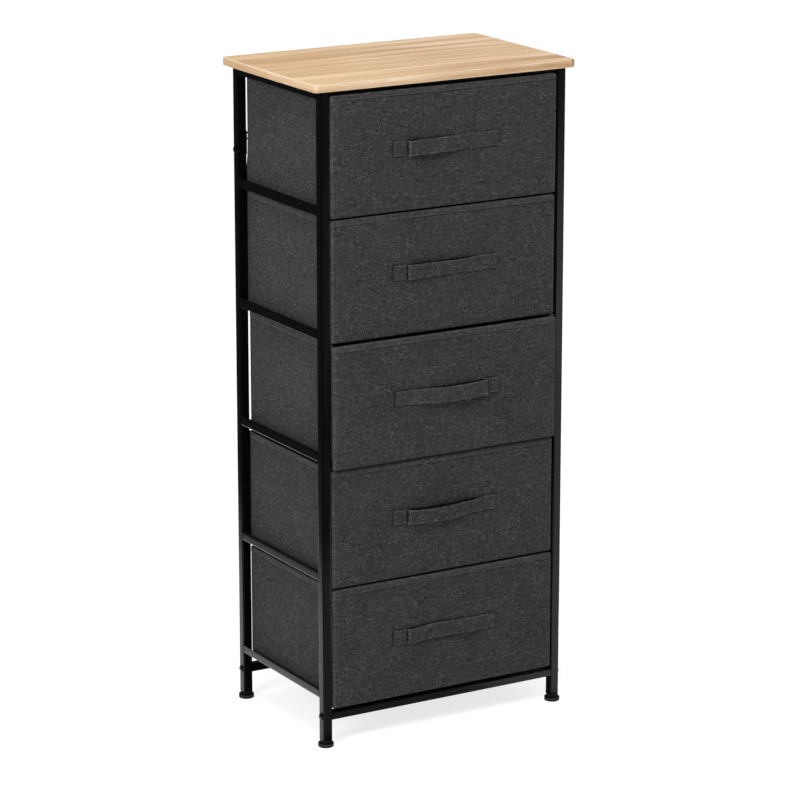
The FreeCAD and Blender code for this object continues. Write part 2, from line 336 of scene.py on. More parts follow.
def yarns(k, across, along, width, length, seed, few=0.82, odd=0.18):
    """Stretches of yarn of one width: a random tone (-0.5 to 0.5) each, and masks of the light and the dark ones."""
    j = k.math("FLOOR", k.math("DIVIDE", across, width))
    t = k.math("MULTIPLY_ADD", k.white(j, seed, 3.31), 37.0, k.math("DIVIDE", along, length))
    c, f = k.math("FLOOR", t), k.math("FRACT", t)
    r = k.white(j, c, seed + 0.57)
    ends = k.math("MULTIPLY", k.ramp(f, 0.0, 0.16), k.ramp(f, 1.0, 0.84))
    tone = k.math("MULTIPLY", k.math("SUBTRACT", r, 0.5), ends)
    light = k.math("MULTIPLY", k.ramp(r, few - 0.03, few + 0.03), ends)
    dark = k.math("MULTIPLY", k.ramp(r, odd + 0.03, odd - 0.03), ends)
    # a thick stretch pushes its neighbours away, and the gap on each side is painted dark as painted shade
    gap = k.ramp(k.math("ABSOLUTE", k.math("SUBTRACT", k.math("FRACT", k.math("DIVIDE", across, width)), 0.5)), 0.27, 0.41)
    thick = k.math("MULTIPLY", light, k.math("SUBTRACT", 1.0, gap))
    return tone, thick, k.math("MAXIMUM", dark, k.math("MULTIPLY", k.math("MULTIPLY", light, gap), 0.9))


def fabric(name, base, streak=1.0, pitch=0.00082, relief=1.0):
    """Linen-look polyester: a plain weave of uneven yarns, with lighter and darker slubs both ways."""
    k = Mat(name, Roughness=0.93, Specular_IOR_Level=0.0, Sheen_Weight=0.05, Sheen_Roughness=0.5)
    k.bsdf.inputs["Sheen Tint"].default_value = (0.84, 0.85, 0.88, 1)
    x, y, _ = k.xyz(k.uv())
    # yarns wander a little, so that the weave isn't ruled
    wob = k.noise(k.vec(k.math("MULTIPLY", x, 60.0), k.math("MULTIPLY", y, 60.0)), 1.0, 2.0)
    wob2 = k.noise(k.vec(k.math("MULTIPLY", x, 57.0), k.math("MULTIPLY", y, 57.0), 7.7), 1.0, 2.0)
    x1 = k.math("MULTIPLY_ADD", wob, 0.0016, x)
    y1 = k.math("MULTIPLY_ADD", wob2, 0.0016, y)
    U = k.math("DIVIDE", x1, pitch)
    V = k.math("DIVIDE", y1, pitch)
    iu, iv = k.math("FLOOR", U), k.math("FLOOR", V)
    hu = k.math("SINE", k.math("MULTIPLY", k.math("FRACT", U), math.pi))
    hv = k.math("SINE", k.math("MULTIPLY", k.math("FRACT", V), math.pi))
    par = k.math("PINGPONG", k.math("ADD", iu, iv), 1.0)
    inv = k.math("SUBTRACT", 1.0, par)
    warp = k.math("MULTIPLY", hu, k.math("MULTIPLY_ADD", hv, 0.55, 0.45))
    weft = k.math("MULTIPLY", hv, k.math("MULTIPLY_ADD", hu, 0.55, 0.45))
    cell = k.math("ADD", k.math("MULTIPLY", warp, par), k.math("MULTIPLY", weft, inv))
    # single yarns, each stretch its own tone
    t1, _, _ = yarns(k, x1, y, pitch, 0.0032, 11.0)
    t2, _, _ = yarns(k, y1, x, pitch, 0.0038, 17.0)
    single = k.math("ADD", k.math("MULTIPLY", t1, par), k.math("MULTIPLY", t2, inv))
    # slubs: two yarns wide, short dashes across and down
    s1, l1, d1 = yarns(k, x1, y, pitch * 1.35, 0.0040, 23.0, 0.90, 0.08)
    s2, l2, d2 = yarns(k, y1, x, pitch * 1.35, 0.0068, 29.0, 0.88, 0.09)
    light, dark = k.math("MAXIMUM", l1, l2), k.math("MAXIMUM", d1, d2)
    both = k.math("ADD", s1, s2)
    # some patches of the cloth are calmer than others, and its shade drifts a little
    calm = k.ramp(k.noise(k.vec(k.math("MULTIPLY", x, 46.0), k.math("MULTIPLY", y, 46.0), 31.0), 1.0, 1.0), 0.36, 0.62, 0.60, 1.15)
    big = k.noise(k.vec(k.math("MULTIPLY", x, 14.0), k.math("MULTIPLY", y, 14.0), 23.0), 1.0, 3.0)
    v = k.math("MULTIPLY", light, 1.38 * streak)
    v = k.math("MULTIPLY_ADD", dark, -0.44 * streak, v)
    v = k.math("MULTIPLY_ADD", both, 0.10 * streak, v)
    v = k.math("MULTIPLY", v, calm)
    v = k.math("MULTIPLY_ADD", single, 0.44 * streak, v)
    v = k.math("MULTIPLY_ADD", k.math("SUBTRACT", big, 0.5), 0.34, v)
    tone = k.math("MAXIMUM", k.math("ADD", v, 0.99), 0.12)
    tone = k.math("MULTIPLY", tone, k.math("MULTIPLY_ADD", cell, 0.62, 0.60))
    # the per-vertex values darken the tone as painted shade in creases, grooves and behind the straps, and lighten it
    # as painted highlights on lit edges and rims
    painted_light = k.attribute("painted_light")
    tone = k.math("MULTIPLY", tone, k.math("MAXIMUM", k.math("MULTIPLY_ADD", painted_light, 0.9, 1.0), 0.08))
    k.put(k.bsdf.inputs["Base Color"], k.scale_colour((*base, 1.0), tone))
    h = k.math("ADD", cell, k.math("MULTIPLY", k.math("SUBTRACT", light, dark), 0.45))
    fuzz = k.noise(k.vec(k.math("MULTIPLY", x, 5200.0), k.math("MULTIPLY", y, 5200.0)), 1.0, 2.0)
    h = k.math("MULTIPLY_ADD", fuzz, 0.35, h)
    k.put(k.bsdf.inputs["Normal"], k.bump(h, 0.00024 * relief, 0.9))
    k.put(k.bsdf.inputs["Roughness"], k.ramp(cell, 0.0, 1.0, 0.98, 0.86))
    return k.m


def thread(name, base):
    """Twisted sewing thread: a fine diagonal twist along each stitch."""
    k = Mat(name, Roughness=0.7, Specular_IOR_Level=0.01, Sheen_Weight=0.15, Sheen_Roughness=0.4)
    x, y, _ = k.xyz(k.uv())
    tw = k.math("SINE", k.math("ADD", k.math("MULTIPLY", x, 9000.0), k.math("MULTIPLY", y, 4200.0)))
    n = k.noise(k.object_co(), 900.0, 2.0)
    t = k.math("MULTIPLY_ADD", tw, 0.16, k.math("MULTIPLY_ADD", n, 0.5, 0.75))
    k.put(k.bsdf.inputs["Base Color"], k.scale_colour((*base, 1.0), t))
    k.put(k.bsdf.inputs["Normal"], k.bump(tw, 0.00008, 0.7))
    k.put(k.bsdf.inputs["Roughness"], k.ramp(n, 0.3, 0.7, 0.62, 0.8))
    return k.m


def powder(name, base=0.0015, rough=0.19, spec=0.0030, peel=1.0):
    """Satin powder coat: near black, a fine orange peel, and a slow change of gloss."""
    k = Mat(name, Specular_IOR_Level=spec)
    co = k.object_co()
    big = k.noise(co, 9.0, 3.0, 0.6)
    mid = k.noise(co, 160.0, 2.0, 0.5)
    fine = k.noise(co, 1500.0, 2.0, 0.55)
    speck = k.ramp(k.noise(co, 5200.0, 1.0), 0.62, 0.78)
    col = k.colours(k.math("MULTIPLY_ADD", k.math("SUBTRACT", big, 0.5), 0.7, k.math("MULTIPLY_ADD", k.math("SUBTRACT", mid, 0.5), 0.5, 0.5)),
                    [(0.25, (base * 0.78, base * 0.77, base * 0.88)), (0.75, (base * 1.3, base * 1.28, base * 1.46))])
    col = k.mix(k.math("MULTIPLY", speck, 0.35), col, (base * 3.2, base * 3.2, base * 3.3))
    k.put(k.bsdf.inputs["Base Color"], col)
    r = k.math("MULTIPLY_ADD", k.math("SUBTRACT", big, 0.5), 0.16, rough)
    r = k.math("MULTIPLY_ADD", k.math("SUBTRACT", fine, 0.5), 0.18, r)
    k.put(k.bsdf.inputs["Roughness"], r)
    h = k.math("ADD", fine, k.math("MULTIPLY", mid, 0.8))
    k.put(k.bsdf.inputs["Normal"], k.bump(h, 0.00006 * peel, 0.55))
    return k.m


def plastic(name, base=0.0042, rough=0.44):
    """Moulded black plastic: fine spark texture."""
    k = Mat(name, Specular_IOR_Level=0.0018)
    co = k.object_co()
    v = k.node("ShaderNodeTexVoronoi")
    k.put(v.inputs["Vector"], co)
    v.inputs["Scale"].default_value = 1900.0
    n = k.noise(co, 26.0, 3.0)
    f = k.noise(co, 2600.0, 2.0)
    c = k.colours(n, [(0.3, (base * 0.8,) * 3), (0.7, (base * 1.35,) * 3)])
    # painted highlights and painted shade from the per-vertex values: paler on the rims, darker in the groove and at
    # the base
    k.put(k.bsdf.inputs["Base Color"], k.scale_colour(c, k.math("MULTIPLY_ADD", k.attribute("painted_light"), 3.2, 1.0)))
    k.put(k.bsdf.inputs["Roughness"], k.math("MULTIPLY_ADD", f, 0.2, rough - 0.1))
    k.put(k.bsdf.inputs["Normal"], k.bump(k.math("ADD", v.outputs["Distance"], f), 0.00006, 0.5))
    return k.m


def zinc(name):
    """Bright zinc on turned steel: fine turning lines and a few dull spots."""
    k = Mat(name, Metallic=1.0)
    co = k.object_co()
    x, y, z = k.xyz(co)
    rings = k.noise(k.vec(k.math("MULTIPLY", x, 300.0), k.math("MULTIPLY", y, 300.0), k.math("MULTIPLY", z, 9000.0)), 1.0, 2.0)
    n = k.noise(co, 120.0, 4.0, 0.6)
    k.put(k.bsdf.inputs["Base Color"], k.colours(n, [(0.3, (0.10, 0.105, 0.11)), (0.55, (0.16, 0.165, 0.17)), (0.8, (0.20, 0.20, 0.195))]))
    k.put(k.bsdf.inputs["Roughness"], k.math("MULTIPLY_ADD", n, 0.22, k.math("MULTIPLY_ADD", rings, 0.16, 0.24)))
    k.put(k.bsdf.inputs["Normal"], k.bump(rings, 0.00003, 0.4))
    return k.m


def greyboard(name):
    """Recycled grey board: matted paper fibres with light and dark flecks."""
    k = Mat(name, Specular_IOR_Level=0.2)
    co = k.object_co()
    x, y, z = k.xyz(co)
    fib = k.noise(k.vec(k.math("MULTIPLY", x, 260.0), k.math("MULTIPLY", y, 900.0), k.math("MULTIPLY", z, 900.0)), 1.0, 4.0, 0.65, 0.6)
    cloud = k.noise(co, 22.0, 4.0, 0.6)
    fleck = k.ramp(k.noise(co, 1300.0, 1.0), 0.68, 0.74)
    dark = k.ramp(k.noise(co, 1100.0, 1.0, 0.5, 1.0), 0.30, 0.26)
    c = k.colours(k.math("MULTIPLY_ADD", fib, 0.6, k.math("MULTIPLY", cloud, 0.4)),
                  [(0.25, srgb(104, 101, 96)), (0.5, srgb(127, 124, 118)), (0.75, srgb(146, 143, 137))])
    c = k.mix(k.math("MULTIPLY", fleck, 0.6), c, srgb(186, 184, 178))
    c = k.mix(k.math("MULTIPLY", dark, 0.6), c, srgb(62, 58, 54))
    k.put(k.bsdf.inputs["Base Color"], c)
    k.put(k.bsdf.inputs["Roughness"], k.ramp(fib, 0.3, 0.7, 0.82, 0.95))
    k.put(k.bsdf.inputs["Normal"], k.bump(fib, 0.00015, 0.5))
    return k.m


def oak(name, lift=0.0, tint=(1.0, 1.0, 1.0), spec=0.40, warm=0.0):
    """Light oak laminate: straight grain along U, growth bands, fibres and short open pores."""
    k = Mat(name, Specular_IOR_Level=spec)
    x, y, _ = k.xyz(k.uv())
    # the grain wanders slowly along the board
    drift = k.noise(k.vec(k.math("MULTIPLY", x, 3.2), k.math("MULTIPLY", y, 9.0), 2.0), 1.0, 2.0)
    yy = k.math("MULTIPLY_ADD", k.math("SUBTRACT", drift, 0.5), 0.026, y)
    band = k.noise(k.vec(k.math("MULTIPLY", x, 1.8), k.math("MULTIPLY", yy, 34.0), 4.0), 1.0, 2.5, 0.5)
    line = k.noise(k.vec(k.math("MULTIPLY", x, 7.0), k.math("MULTIPLY", yy, 170.0), 6.0), 1.0, 3.0, 0.6)
    thin = k.noise(k.vec(k.math("MULTIPLY", x, 11.0), k.math("MULTIPLY", yy, 430.0), 7.0), 1.0, 2.0, 0.55)
    fibre = k.noise(k.vec(k.math("MULTIPLY", x, 26.0), k.math("MULTIPLY", yy, 1500.0), 8.0), 1.0, 3.0, 0.6)
    pore = k.noise(k.vec(k.math("MULTIPLY", x, 95.0), k.math("MULTIPLY", yy, 2300.0), 12.0), 1.0, 1.0)
    patch = k.noise(k.vec(k.math("MULTIPLY", x, 9.0), k.math("MULTIPLY", yy, 60.0), 15.0), 1.0, 2.0)
    # the bands are stronger and a little lighter toward the end with the wider figure
    t = k.math("MULTIPLY_ADD", k.math("SUBTRACT", band, 0.5), k.ramp(x, -0.14, 0.06, 1.45, 2.30), k.ramp(x, 0.02, 0.18, 0.49 + lift, 0.59 + lift))
    t = k.math("MULTIPLY_ADD", k.math("SUBTRACT", line, 0.5), 0.95, t)
    t = k.math("MULTIPLY_ADD", k.math("SUBTRACT", thin, 0.5), 0.65, t)
    t = k.math("MULTIPLY_ADD", k.math("SUBTRACT", fibre, 0.5), 0.4, t)
    c = k.colours(t, [(0.08, srgb(178, 138, 99)), (0.32, srgb(199, 160, 120)), (0.52, srgb(211, 176, 137)),
                      (0.70, srgb(222, 190, 153)), (0.92, srgb(233, 206, 173))])
    # darker growth lines, thin and broken
    rings = k.math("MULTIPLY", k.ramp(thin, 0.58, 0.68), k.ramp(patch, 0.42, 0.60))
    c = k.mix(k.math("MULTIPLY", rings, 0.34), c, srgb(166, 124, 84))
    p = k.math("MULTIPLY", k.ramp(pore, 0.66, 0.74), k.ramp(patch, 0.40, 0.60))
    c = k.mix(k.math("MULTIPLY", p, 0.55), c, srgb(140, 100, 66))
    c = k.mix(1.0, c, tuple(a * b for a, b in zip(tint, (0.905, 0.905, 0.885))), "MULTIPLY")
    if warm:
        # the print is a little browner toward one end
        c = k.mix(k.math("MULTIPLY", k.ramp(x, 0.03, -0.19), warm), c, (0.955, 0.935, 0.845), "MULTIPLY")
    k.put(k.bsdf.inputs["Base Color"], c)
    k.put(k.bsdf.inputs["Roughness"], k.math("MULTIPLY_ADD", fibre, 0.20, k.math("MULTIPLY_ADD", p, 0.12, 0.38)))
    h = k.math("SUBTRACT", k.math("MULTIPLY", fibre, 0.5), p)
    k.put(k.bsdf.inputs["Normal"], k.bump(h, 0.00008, 0.5))
    return k.m


M_FABRIC = fabric("charcoal_linen", (0.0304, 0.0303, 0.0309))
# the hem band is the same cloth made lighter: a painted highlight where the folded band meets the light
M_HEM = fabric("charcoal_linen_hem_painted_highlight", (0.0352, 0.0351, 0.0358), streak=0.75)
M_LINING = fabric("charcoal_linen_inside", (0.0300, 0.0299, 0.0305), streak=0.7)
M_THREAD = thread("charcoal_thread", (0.056, 0.056, 0.058))
M_STEEL = powder("black_powder_coat")
M_BOLT = powder("black_bolt_finish", 0.0020, 0.26, 0.0065, 0.5)
M_PLASTIC = plastic("black_plastic")
M_ZINC = zinc("zinc_plate")
M_BOARD = greyboard("grey_board")
M_OAK = oak("oak_laminate", warm=1.0)
# a lighter copy of the oak for the arris rows: a painted highlight along the edge
M_ARRIS = oak("oak_laminate_arris_painted_highlight", 0.05, (0.745, 0.755, 0.79), 0.01)
M_BAND = oak("oak_edge_band", -0.20, (0.69, 0.725, 0.785), 0.002)


# ---------------------------------------------------------------------------------------------
# Drawer fronts: a fabric sleeve over a stiff board, with a hem band along the top
# ---------------------------------------------------------------------------------------------
EDGE = 3.2          # how far the face's rounded edges drop back
ROLL = 5.2          # and how wide they are
CORNER = 3.6        # rounding of its outline
HEM = 8.6
SEAM = 7.2          # side seams, in from the outline
SH = 11.5           # half the strap's height


def front_y(n):
    return Y0 - 1.0 + SET[n]


def front_relief(n, x, z):
    """How far the cloth of drawer n's front stands out from its plane, in mm."""
    top, bot = FRONT_TOP[n], FRONT_BOT[n]
    zt, zb = top - z, z - bot
    dx = FRONT_W / 2 - np.abs(x)
    s = 31 * n
    inner = smooth(2.0, 14.0, dx) * smooth(2.0, 12.0, zt) * smooth(2.0, 12.0, zb)
    r = inner * (0.42 * pnoise(x / 92 + 3, z / 74, s + 1) + 0.20 * pnoise(x / 37, z / 30 + 5, s + 2)
                 + 0.07 * pnoise(x / 13, z / 12, s + 3))
    r += 0.35 * inner
    # the top hem: a folded band with a sewn line under it
    r += (0.70 - 0.070 * (HEM - zt)) * (1 - smooth(HEM - 0.35, HEM + 0.25, zt))
    r -= 0.45 * bump(zt, HEM + 0.55, 0.55)
    pucker = pnoise(x / 5.2, 0.4, s + 4) + 0.6 * pnoise(x / 2.9, 7.4, s + 5)
    r += 0.10 * pucker * (bump(zt, HEM + 4.0, 4.0) + 0.6 * bump(zt, HEM - 3.0, 3.0))
    # the side seams, a few mm in from each edge, puckered by the thread
    side = np.where(x < 0, 0.0, 50.0)
    r -= 0.26 * bump(dx, SEAM, 0.6) * smooth(HEM, HEM + 3, zt)
    creases = pnoise(z / 3.2, side, s + 6) + 0.7 * pnoise(z / 8.5, side + 9, s + 7)
    r += 0.26 * creases * bump(dx, 3.4, 3.2) * smooth(3, 12, zb)
    r += 0.10 * creases * bump(dx, 10.5, 4.0)
    # a soft fold where the sleeve ends at the bottom
    r += 0.12 * pnoise(x / 16, 2.2, s + 8) * bump(zb, 5, 5)
    # the strap pulls the cloth in at its ends, and its stitching sinks a groove round each
    zs = STRAP_Z[n]
    for xe in (-91.0, 91.0):
        r -= 0.25 * bump(x, xe, 9.0) * bump(z, zs, 15.0)
        r -= 0.75 * bump(x, xe * 1.0083, 0.65) * (1 - smooth(SH - 0.2, SH + 1.0, np.abs(z - zs)))
    ends = (1 - smooth(91.0, 92.0, np.abs(x))) * smooth(66.0, 68.0, np.abs(x))
    r -= 0.45 * bump(np.abs(z - zs), SH + 0.7, 0.6) * ends
    return r


def front_painted_light(n, x, z):
    """Painted light on the front's cloth: painted highlights on the lit side edges and rims, painted shade in the seam
    and strap grooves, behind the strap and round it.
    """
    top, bot = FRONT_TOP[n], FRONT_BOT[n]
    zt, zb = top - z, z - bot
    dx = FRONT_W / 2 - np.abs(x)
    zs = STRAP_Z[n]
    # painted shade in the seam groove under the hem and along the side seams
    w = -0.55 * bump(zt, HEM + 0.55, 0.55) - 0.16 * bump(dx, SEAM, 0.6) * smooth(HEM, HEM + 3, zt)
    # painted highlight on the rolled side edges, stronger on the left edge, which faces the light
    w += np.where(x < 0, 0.34, 0.24) * (1 - smooth(3.0, ROLL + 2.0, dx)) * (1 + 0.5 * pnoise(z / 4.0, 3.0, 400 + n))
    # painted highlight along the top and bottom rims
    w += 0.36 * (1 - smooth(0.5, 1.9, zt)) + 0.14 * (1 - smooth(1.0, 3.0, zb))
    # painted shade in the grooves round the strap's sewn ends
    for xe in (-91.0, 91.0):
        w -= (0.98 if xe < 0 else 0.80) * bump(x, xe * 1.0083, 0.66) * (1 - smooth(SH - 0.2, SH + 0.9, np.abs(z - zs)))
    ends = (1 - smooth(91.0, 92.0, np.abs(x))) * smooth(66.0, 68.0, np.abs(x))
    w -= 0.80 * bump(np.abs(z - zs), SH + 0.7, 0.62) * ends
    # painted shadow in the gap behind the strap, and a softer painted shade round it
    rise, out = strap_line(n, x)
    painted_shadow_behind_strap = (1 - smooth(SH - 0.7, SH + 0.5, np.abs(z - zs - rise))) * (1 - smooth(64.0, 68.0, np.abs(x))) * smooth(1.6, 2.8, out)
    return w - 0.95 * painted_shadow_behind_strap - 0.18 * (1 - smooth(SH - 1.0, SH + 7.0, np.abs(z - zs))) * (1 - smooth(58.0, 66.0, np.abs(x)))


def strap_line(n, x):
    """The rise of the strap's centre line and the stand-off of its upper edge over x on drawer n's front."""
    k = STRAPS[n]
    c = np.array(k["path"][10:], float)
    q = -x if k["flip"] else x
    rise = np.interp(q, c[:, 0], c[:, 2])
    out = np.interp(q, c[:, 0], c[:, 1], left=k["path"][10][1])
    tw = np.interp(x, [t[0] for t in k["twist"]], [t[1] for t in k["twist"]])
    return rise, out - tw / 2


def front_edge_shift(n, x, z):
    """Small waviness of the top and bottom edges, in mm of Z."""
    top, bot = FRONT_TOP[n], FRONT_BOT[n]
    t = (z - bot) / (top - bot)
    mid = 1 - (x / (FRONT_W / 2)) ** 2
    up = 0.22 * pnoise(x / 64, 1.7, 60 + n) - 0.10 - 0.25 * mid
    down = 0.24 * pnoise(x / 71, 4.7, 70 + n) - 0.10 * mid - (0.9 if n == 4 else 0.15)
    return up * smooth(0.55, 1.0, t) + down * (1 - smooth(0.0, 0.4, t))


def outline_in(a, b):
    """Square corner region to a quarter disc: keeps the larger of the two as the radius."""
    r = np.maximum(a, b)
    d = np.sqrt(a * a + b * b)
    f = np.where(d > 1e-9, r / np.maximum(d, 1e-9), 1.0)
    return a * f, b * f


def front_point(n, x, z):
    """Face point of drawer n's front at grid position x, z: (X, Y, Z) and its distance from the outline."""
    hw = FRONT_W / 2
    top, bot = FRONT_TOP[n], FRONT_BOT[n]
    zc, hh = (top + bot) / 2, (top - bot) / 2
    ax, az = np.abs(x), np.abs(z - zc)
    cx, cz = np.maximum(ax - (hw - CORNER), 0), np.maximum(az - (hh - CORNER), 0)
    both = (cx > 0) & (cz > 0)
    nx, nz = outline_in(cx, cz)
    px = np.where(both, (hw - CORNER) + nx, ax) * np.sign(x)
    pz = zc + np.where(both, (hh - CORNER) + nz, az) * np.sign(z - zc)
    d = np.where(both, CORNER - np.sqrt(nx * nx + nz * nz), np.minimum(hw - ax, hh - az))
    d = np.maximum(d, 0)
    return px, pz, d


def refine(a, extra):
    """The sorted positions a with the extra ones put in, dropping those that lie close to them."""
    extra = np.array(sorted(extra), float)
    keep = [v for i, v in enumerate(a) if i < 18 or i >= len(a) - 20 or np.min(np.abs(extra - v)) > 0.45]
    return np.unique(np.round(np.concatenate([keep, extra]), 6))


def make_front(n):
    hw = FRONT_W / 2
    top, bot, yf = FRONT_TOP[n], FRONT_BOT[n], front_y(n)
    rnd = [ROLL * (1 - math.cos(math.radians(a))) for a in (0, 11, 22, 33, 45, 56, 67, 78, 90)]
    near_x = rnd + [5.9, 6.5, 6.9, 7.3, 7.7, 8.4, 9.6]
    near_top = rnd + [5.9, 6.7, 7.5, 8.2, 8.5, 8.8, 9.1, 9.4, 9.8, 10.6, 12.2]
    near_bot = rnd + [6.2, 7.4]
    zm = STRAP_Z[n]
    fine = [88.0, 90.0, 91.0, 91.3, 91.6, 91.9, 92.2, 92.6, 93.4]
    xs = refine(spaced(-hw, hw, 2.3, near_x, near_x), [-v for v in fine] + fine + [-68, -67, -66, 66, 67, 68])
    zs = refine(spaced(bot, top, 2.3, near_bot, near_top),
                [zm + sg * v for sg in (-1, 1) for v in (10.6, 11.3, 11.7, 12.0, 12.3, 12.6, 13.0, 13.8)])
    X, Z = np.meshgrid(xs, zs, indexing="ij")
    px, pz, d = front_point(n, X, Z)
    q = np.clip((ROLL - d) / ROLL, 0, 1)
    drop = EDGE * (1 - np.sqrt(1 - q * q))
    rel = front_relief(n, px, pz) * smooth(0.0, 2.6, d)
    dz = front_edge_shift(n, px, pz)
    P = np.stack([px, yf + drop - rel, pz + dz], -1)
    UV = np.stack([X + 1000 * n + 300, Z], -1)
    b = Build()
    painted_light = front_painted_light(n, px, pz)
    zq = (pz[:-1, :-1] + pz[1:, 1:]) / 2
    b.grid(P, UV, flip=True, painted_light=painted_light, mat=np.where(top - zq < HEM + 0.1, 2, 0))
    # rear face, a little flatter, and the rim between
    back = yf + FRONT_T
    dropb = np.where(d < 0.7, 0.7 - np.sqrt(np.maximum(0.7**2 - (0.7 - d) ** 2, 0)), 0.0)
    relb = 0.20 * (pnoise(px / 60, pz / 50, 200 + n) + 0.4 * pnoise(px / 21, pz / 24, 220 + n)) * smooth(3, 16, d)
    PB = np.stack([px, back - dropb - 0.25 * smooth(2, 12, d) + relb * 0.8, pz + dz], -1)
    b.grid(PB, UV + [[[37.0, 11.0]]], mat=1)
    # the outline loop, as grid indices, anticlockwise from the front
    na, nb = X.shape
    loop = ([(i, 0) for i in range(na)] + [(na - 1, j) for j in range(1, nb)]
            + [(i, nb - 1) for i in range(na - 2, -1, -1)] + [(0, j) for j in range(nb - 2, 0, -1)])
    L = np.array(loop)
    A, B_ = P[L[:, 0], L[:, 1]], PB[L[:, 0], L[:, 1]]
    ya, yb = A[:, 1], B_[:, 1]
    slot = (np.abs(A[:, 0]) < hw - 6.1) & (L[:, 1] == 0)
    # the front's painted light goes on a little way over the rim
    rim_painted_light = np.repeat(painted_light[L[:, 0], L[:, 1]][:, None], 7, 1) * np.array([1, .6, .3, 0, 0, 0, 0])
    rows = [A]
    for f, deep in ((3.22, 0.0), (3.30, 1.0), (5.98, 1.0), (6.06, 0.0)):
        q = A.copy()
        q[:, 1] = yf + f
        q[:, 2] += np.where(slot, 3.4 * deep, 0.0)
        rows.append(q)
    q = A.copy()
    q[:, 1] = yf + 6.9
    rows += [q, B_]
    R = np.stack(rows, 1)
    s = np.concatenate([[0], np.cumsum(np.linalg.norm(np.diff(np.vstack([A, A[:1]]), axis=0), axis=1))])
    w = np.array([0, .6, .8, 3.8, 4.0, 5.0, 6.0])
    U = np.zeros((len(loop) + 1, len(rows), 2))
    U[..., 0] = s[:, None]
    U[..., 1] = w[None, :] + 3000
    b.grid(R, U, close=True, painted_light=rim_painted_light)
    return b.make(f"drawer_{n+1}_front_cover", [M_FABRIC, M_LINING, M_HEM])


# ---------------------------------------------------------------------------------------------
# Drawer bins: two sides and a rear in one piece of cloth, and a floor
# ---------------------------------------------------------------------------------------------
WALL = 2.2
REAR_OUT = [0.4, 6.0, 6.4, 6.6, 4.6]       # how far each rear wall has been pushed out by what the drawer held


def bin_path(n):
    """Outer line of the walls in plan: points, outward normals, arc length."""
    yf = front_y(n)
    yj, yr, R, h = yf + FRONT_T - 0.35, yf + BIN_DEPTH + REAR_OUT[n], 3.2, BIN_HALF
    pts, nor = [], []
    ys = spaced(yj, yr - R, 3.2, [0, 1.0, 2.4, 4.0, 4.8, 5.6, 7.0], [0])
    for y in ys:
        pts.append((-h, y)); nor.append((-1, 0))
    for a in (15, 30, 45, 60, 75, 90):
        c, s = math.cos(math.radians(a)), math.sin(math.radians(a))
        pts.append((-h + R - R * c, yr - R + R * s)); nor.append((-c, s))
    for x in np.linspace(-h + R, h - R, 122)[1:]:
        pts.append((x, yr)); nor.append((0, 1))
    for a in (75, 60, 45, 30, 15, 0):
        c, s = math.cos(math.radians(a)), math.sin(math.radians(a))
        pts.append((h - R + R * c, yr - R + R * s)); nor.append((c, s))
    for y in ys[::-1][1:]:
        pts.append((h, y)); nor.append((1, 0))
    pts, nor = np.array(pts, float), np.array(nor, float)
    s = np.concatenate([[0], np.cumsum(np.linalg.norm(np.diff(pts, axis=0), axis=1))])
    return pts, nor, s


def bin_sway(n, pts, nor, s, z):
    """How far the cloth walls lean out (+) or in (-) from the flat, in mm, at path point and height."""
    bot, top = RUN_Z[n] + 1.8, SIDE_TOP[n]
    t = np.clip((z - bot) / (top - bot), 0, 1)
    total = s[-1]
    side = BIN_DEPTH - 8
    u = np.where(s < side, s / side, np.where(s > total - side, (total - s) / side, 0.0))
    u = np.clip(u, 0, 1)
    on_side = (s < side) | (s > total - side)
    rear = np.clip((s - side) / (total - 2 * side), 0, 1)
    belly = np.where(on_side, np.sin(np.pi * np.clip(u, 0, 1)), np.sin(np.pi * rear))
    k = 40 * n + 500
    free = smooth(0, 0.10, u) * smooth(1.0, 0.93, u)
    free = np.where(on_side, free, smooth(0, 0.05, rear) * smooth(1.0, 0.95, rear))
    w = belly * (0.55 * np.sin(np.pi * t) - 0.55 * smooth(0.7, 1.0, t))
    w = w + free * (0.55 * pnoise(s / 66, z / 90, k) + 0.26 * pnoise(s / 27, z / 41, k + 1)
                    + 0.09 * pnoise(s / 11, z / 13, k + 2))
    # the cloth rolls out over the bottom edge, unevenly
    w = w + free * (0.55 + 0.5 * pnoise(s / 24, 0.5, k + 3)) * np.exp(-(z - bot) / 9.0)
    # upright creases beside the corners
    w = w - 0.5 * bump(u, 0.045, 0.014) * on_side * smooth(0, 0.2, t)
    w = w - 0.45 * bump(u, 0.955, 0.016) * on_side * smooth(0, 0.2, t)
    # the side folds flat about an upright crease near its middle
    w = w + (0.34 if n == 4 else 0.20) * bump(u, 0.43, 0.006) * on_side * smooth(0, 0.15, t) * (1 - smooth(0.8, 0.95, t))
    # the stiff rear corner leans out
    w = w + on_side * smooth(0.80, 0.99, u) * (0.95 + (0.35 * (1 - smooth(0.1, 0.5, t))))
    hi = np.where(on_side, 1.2, 1.6)
    return np.where(w > 0, hi * np.tanh(w / hi), w)


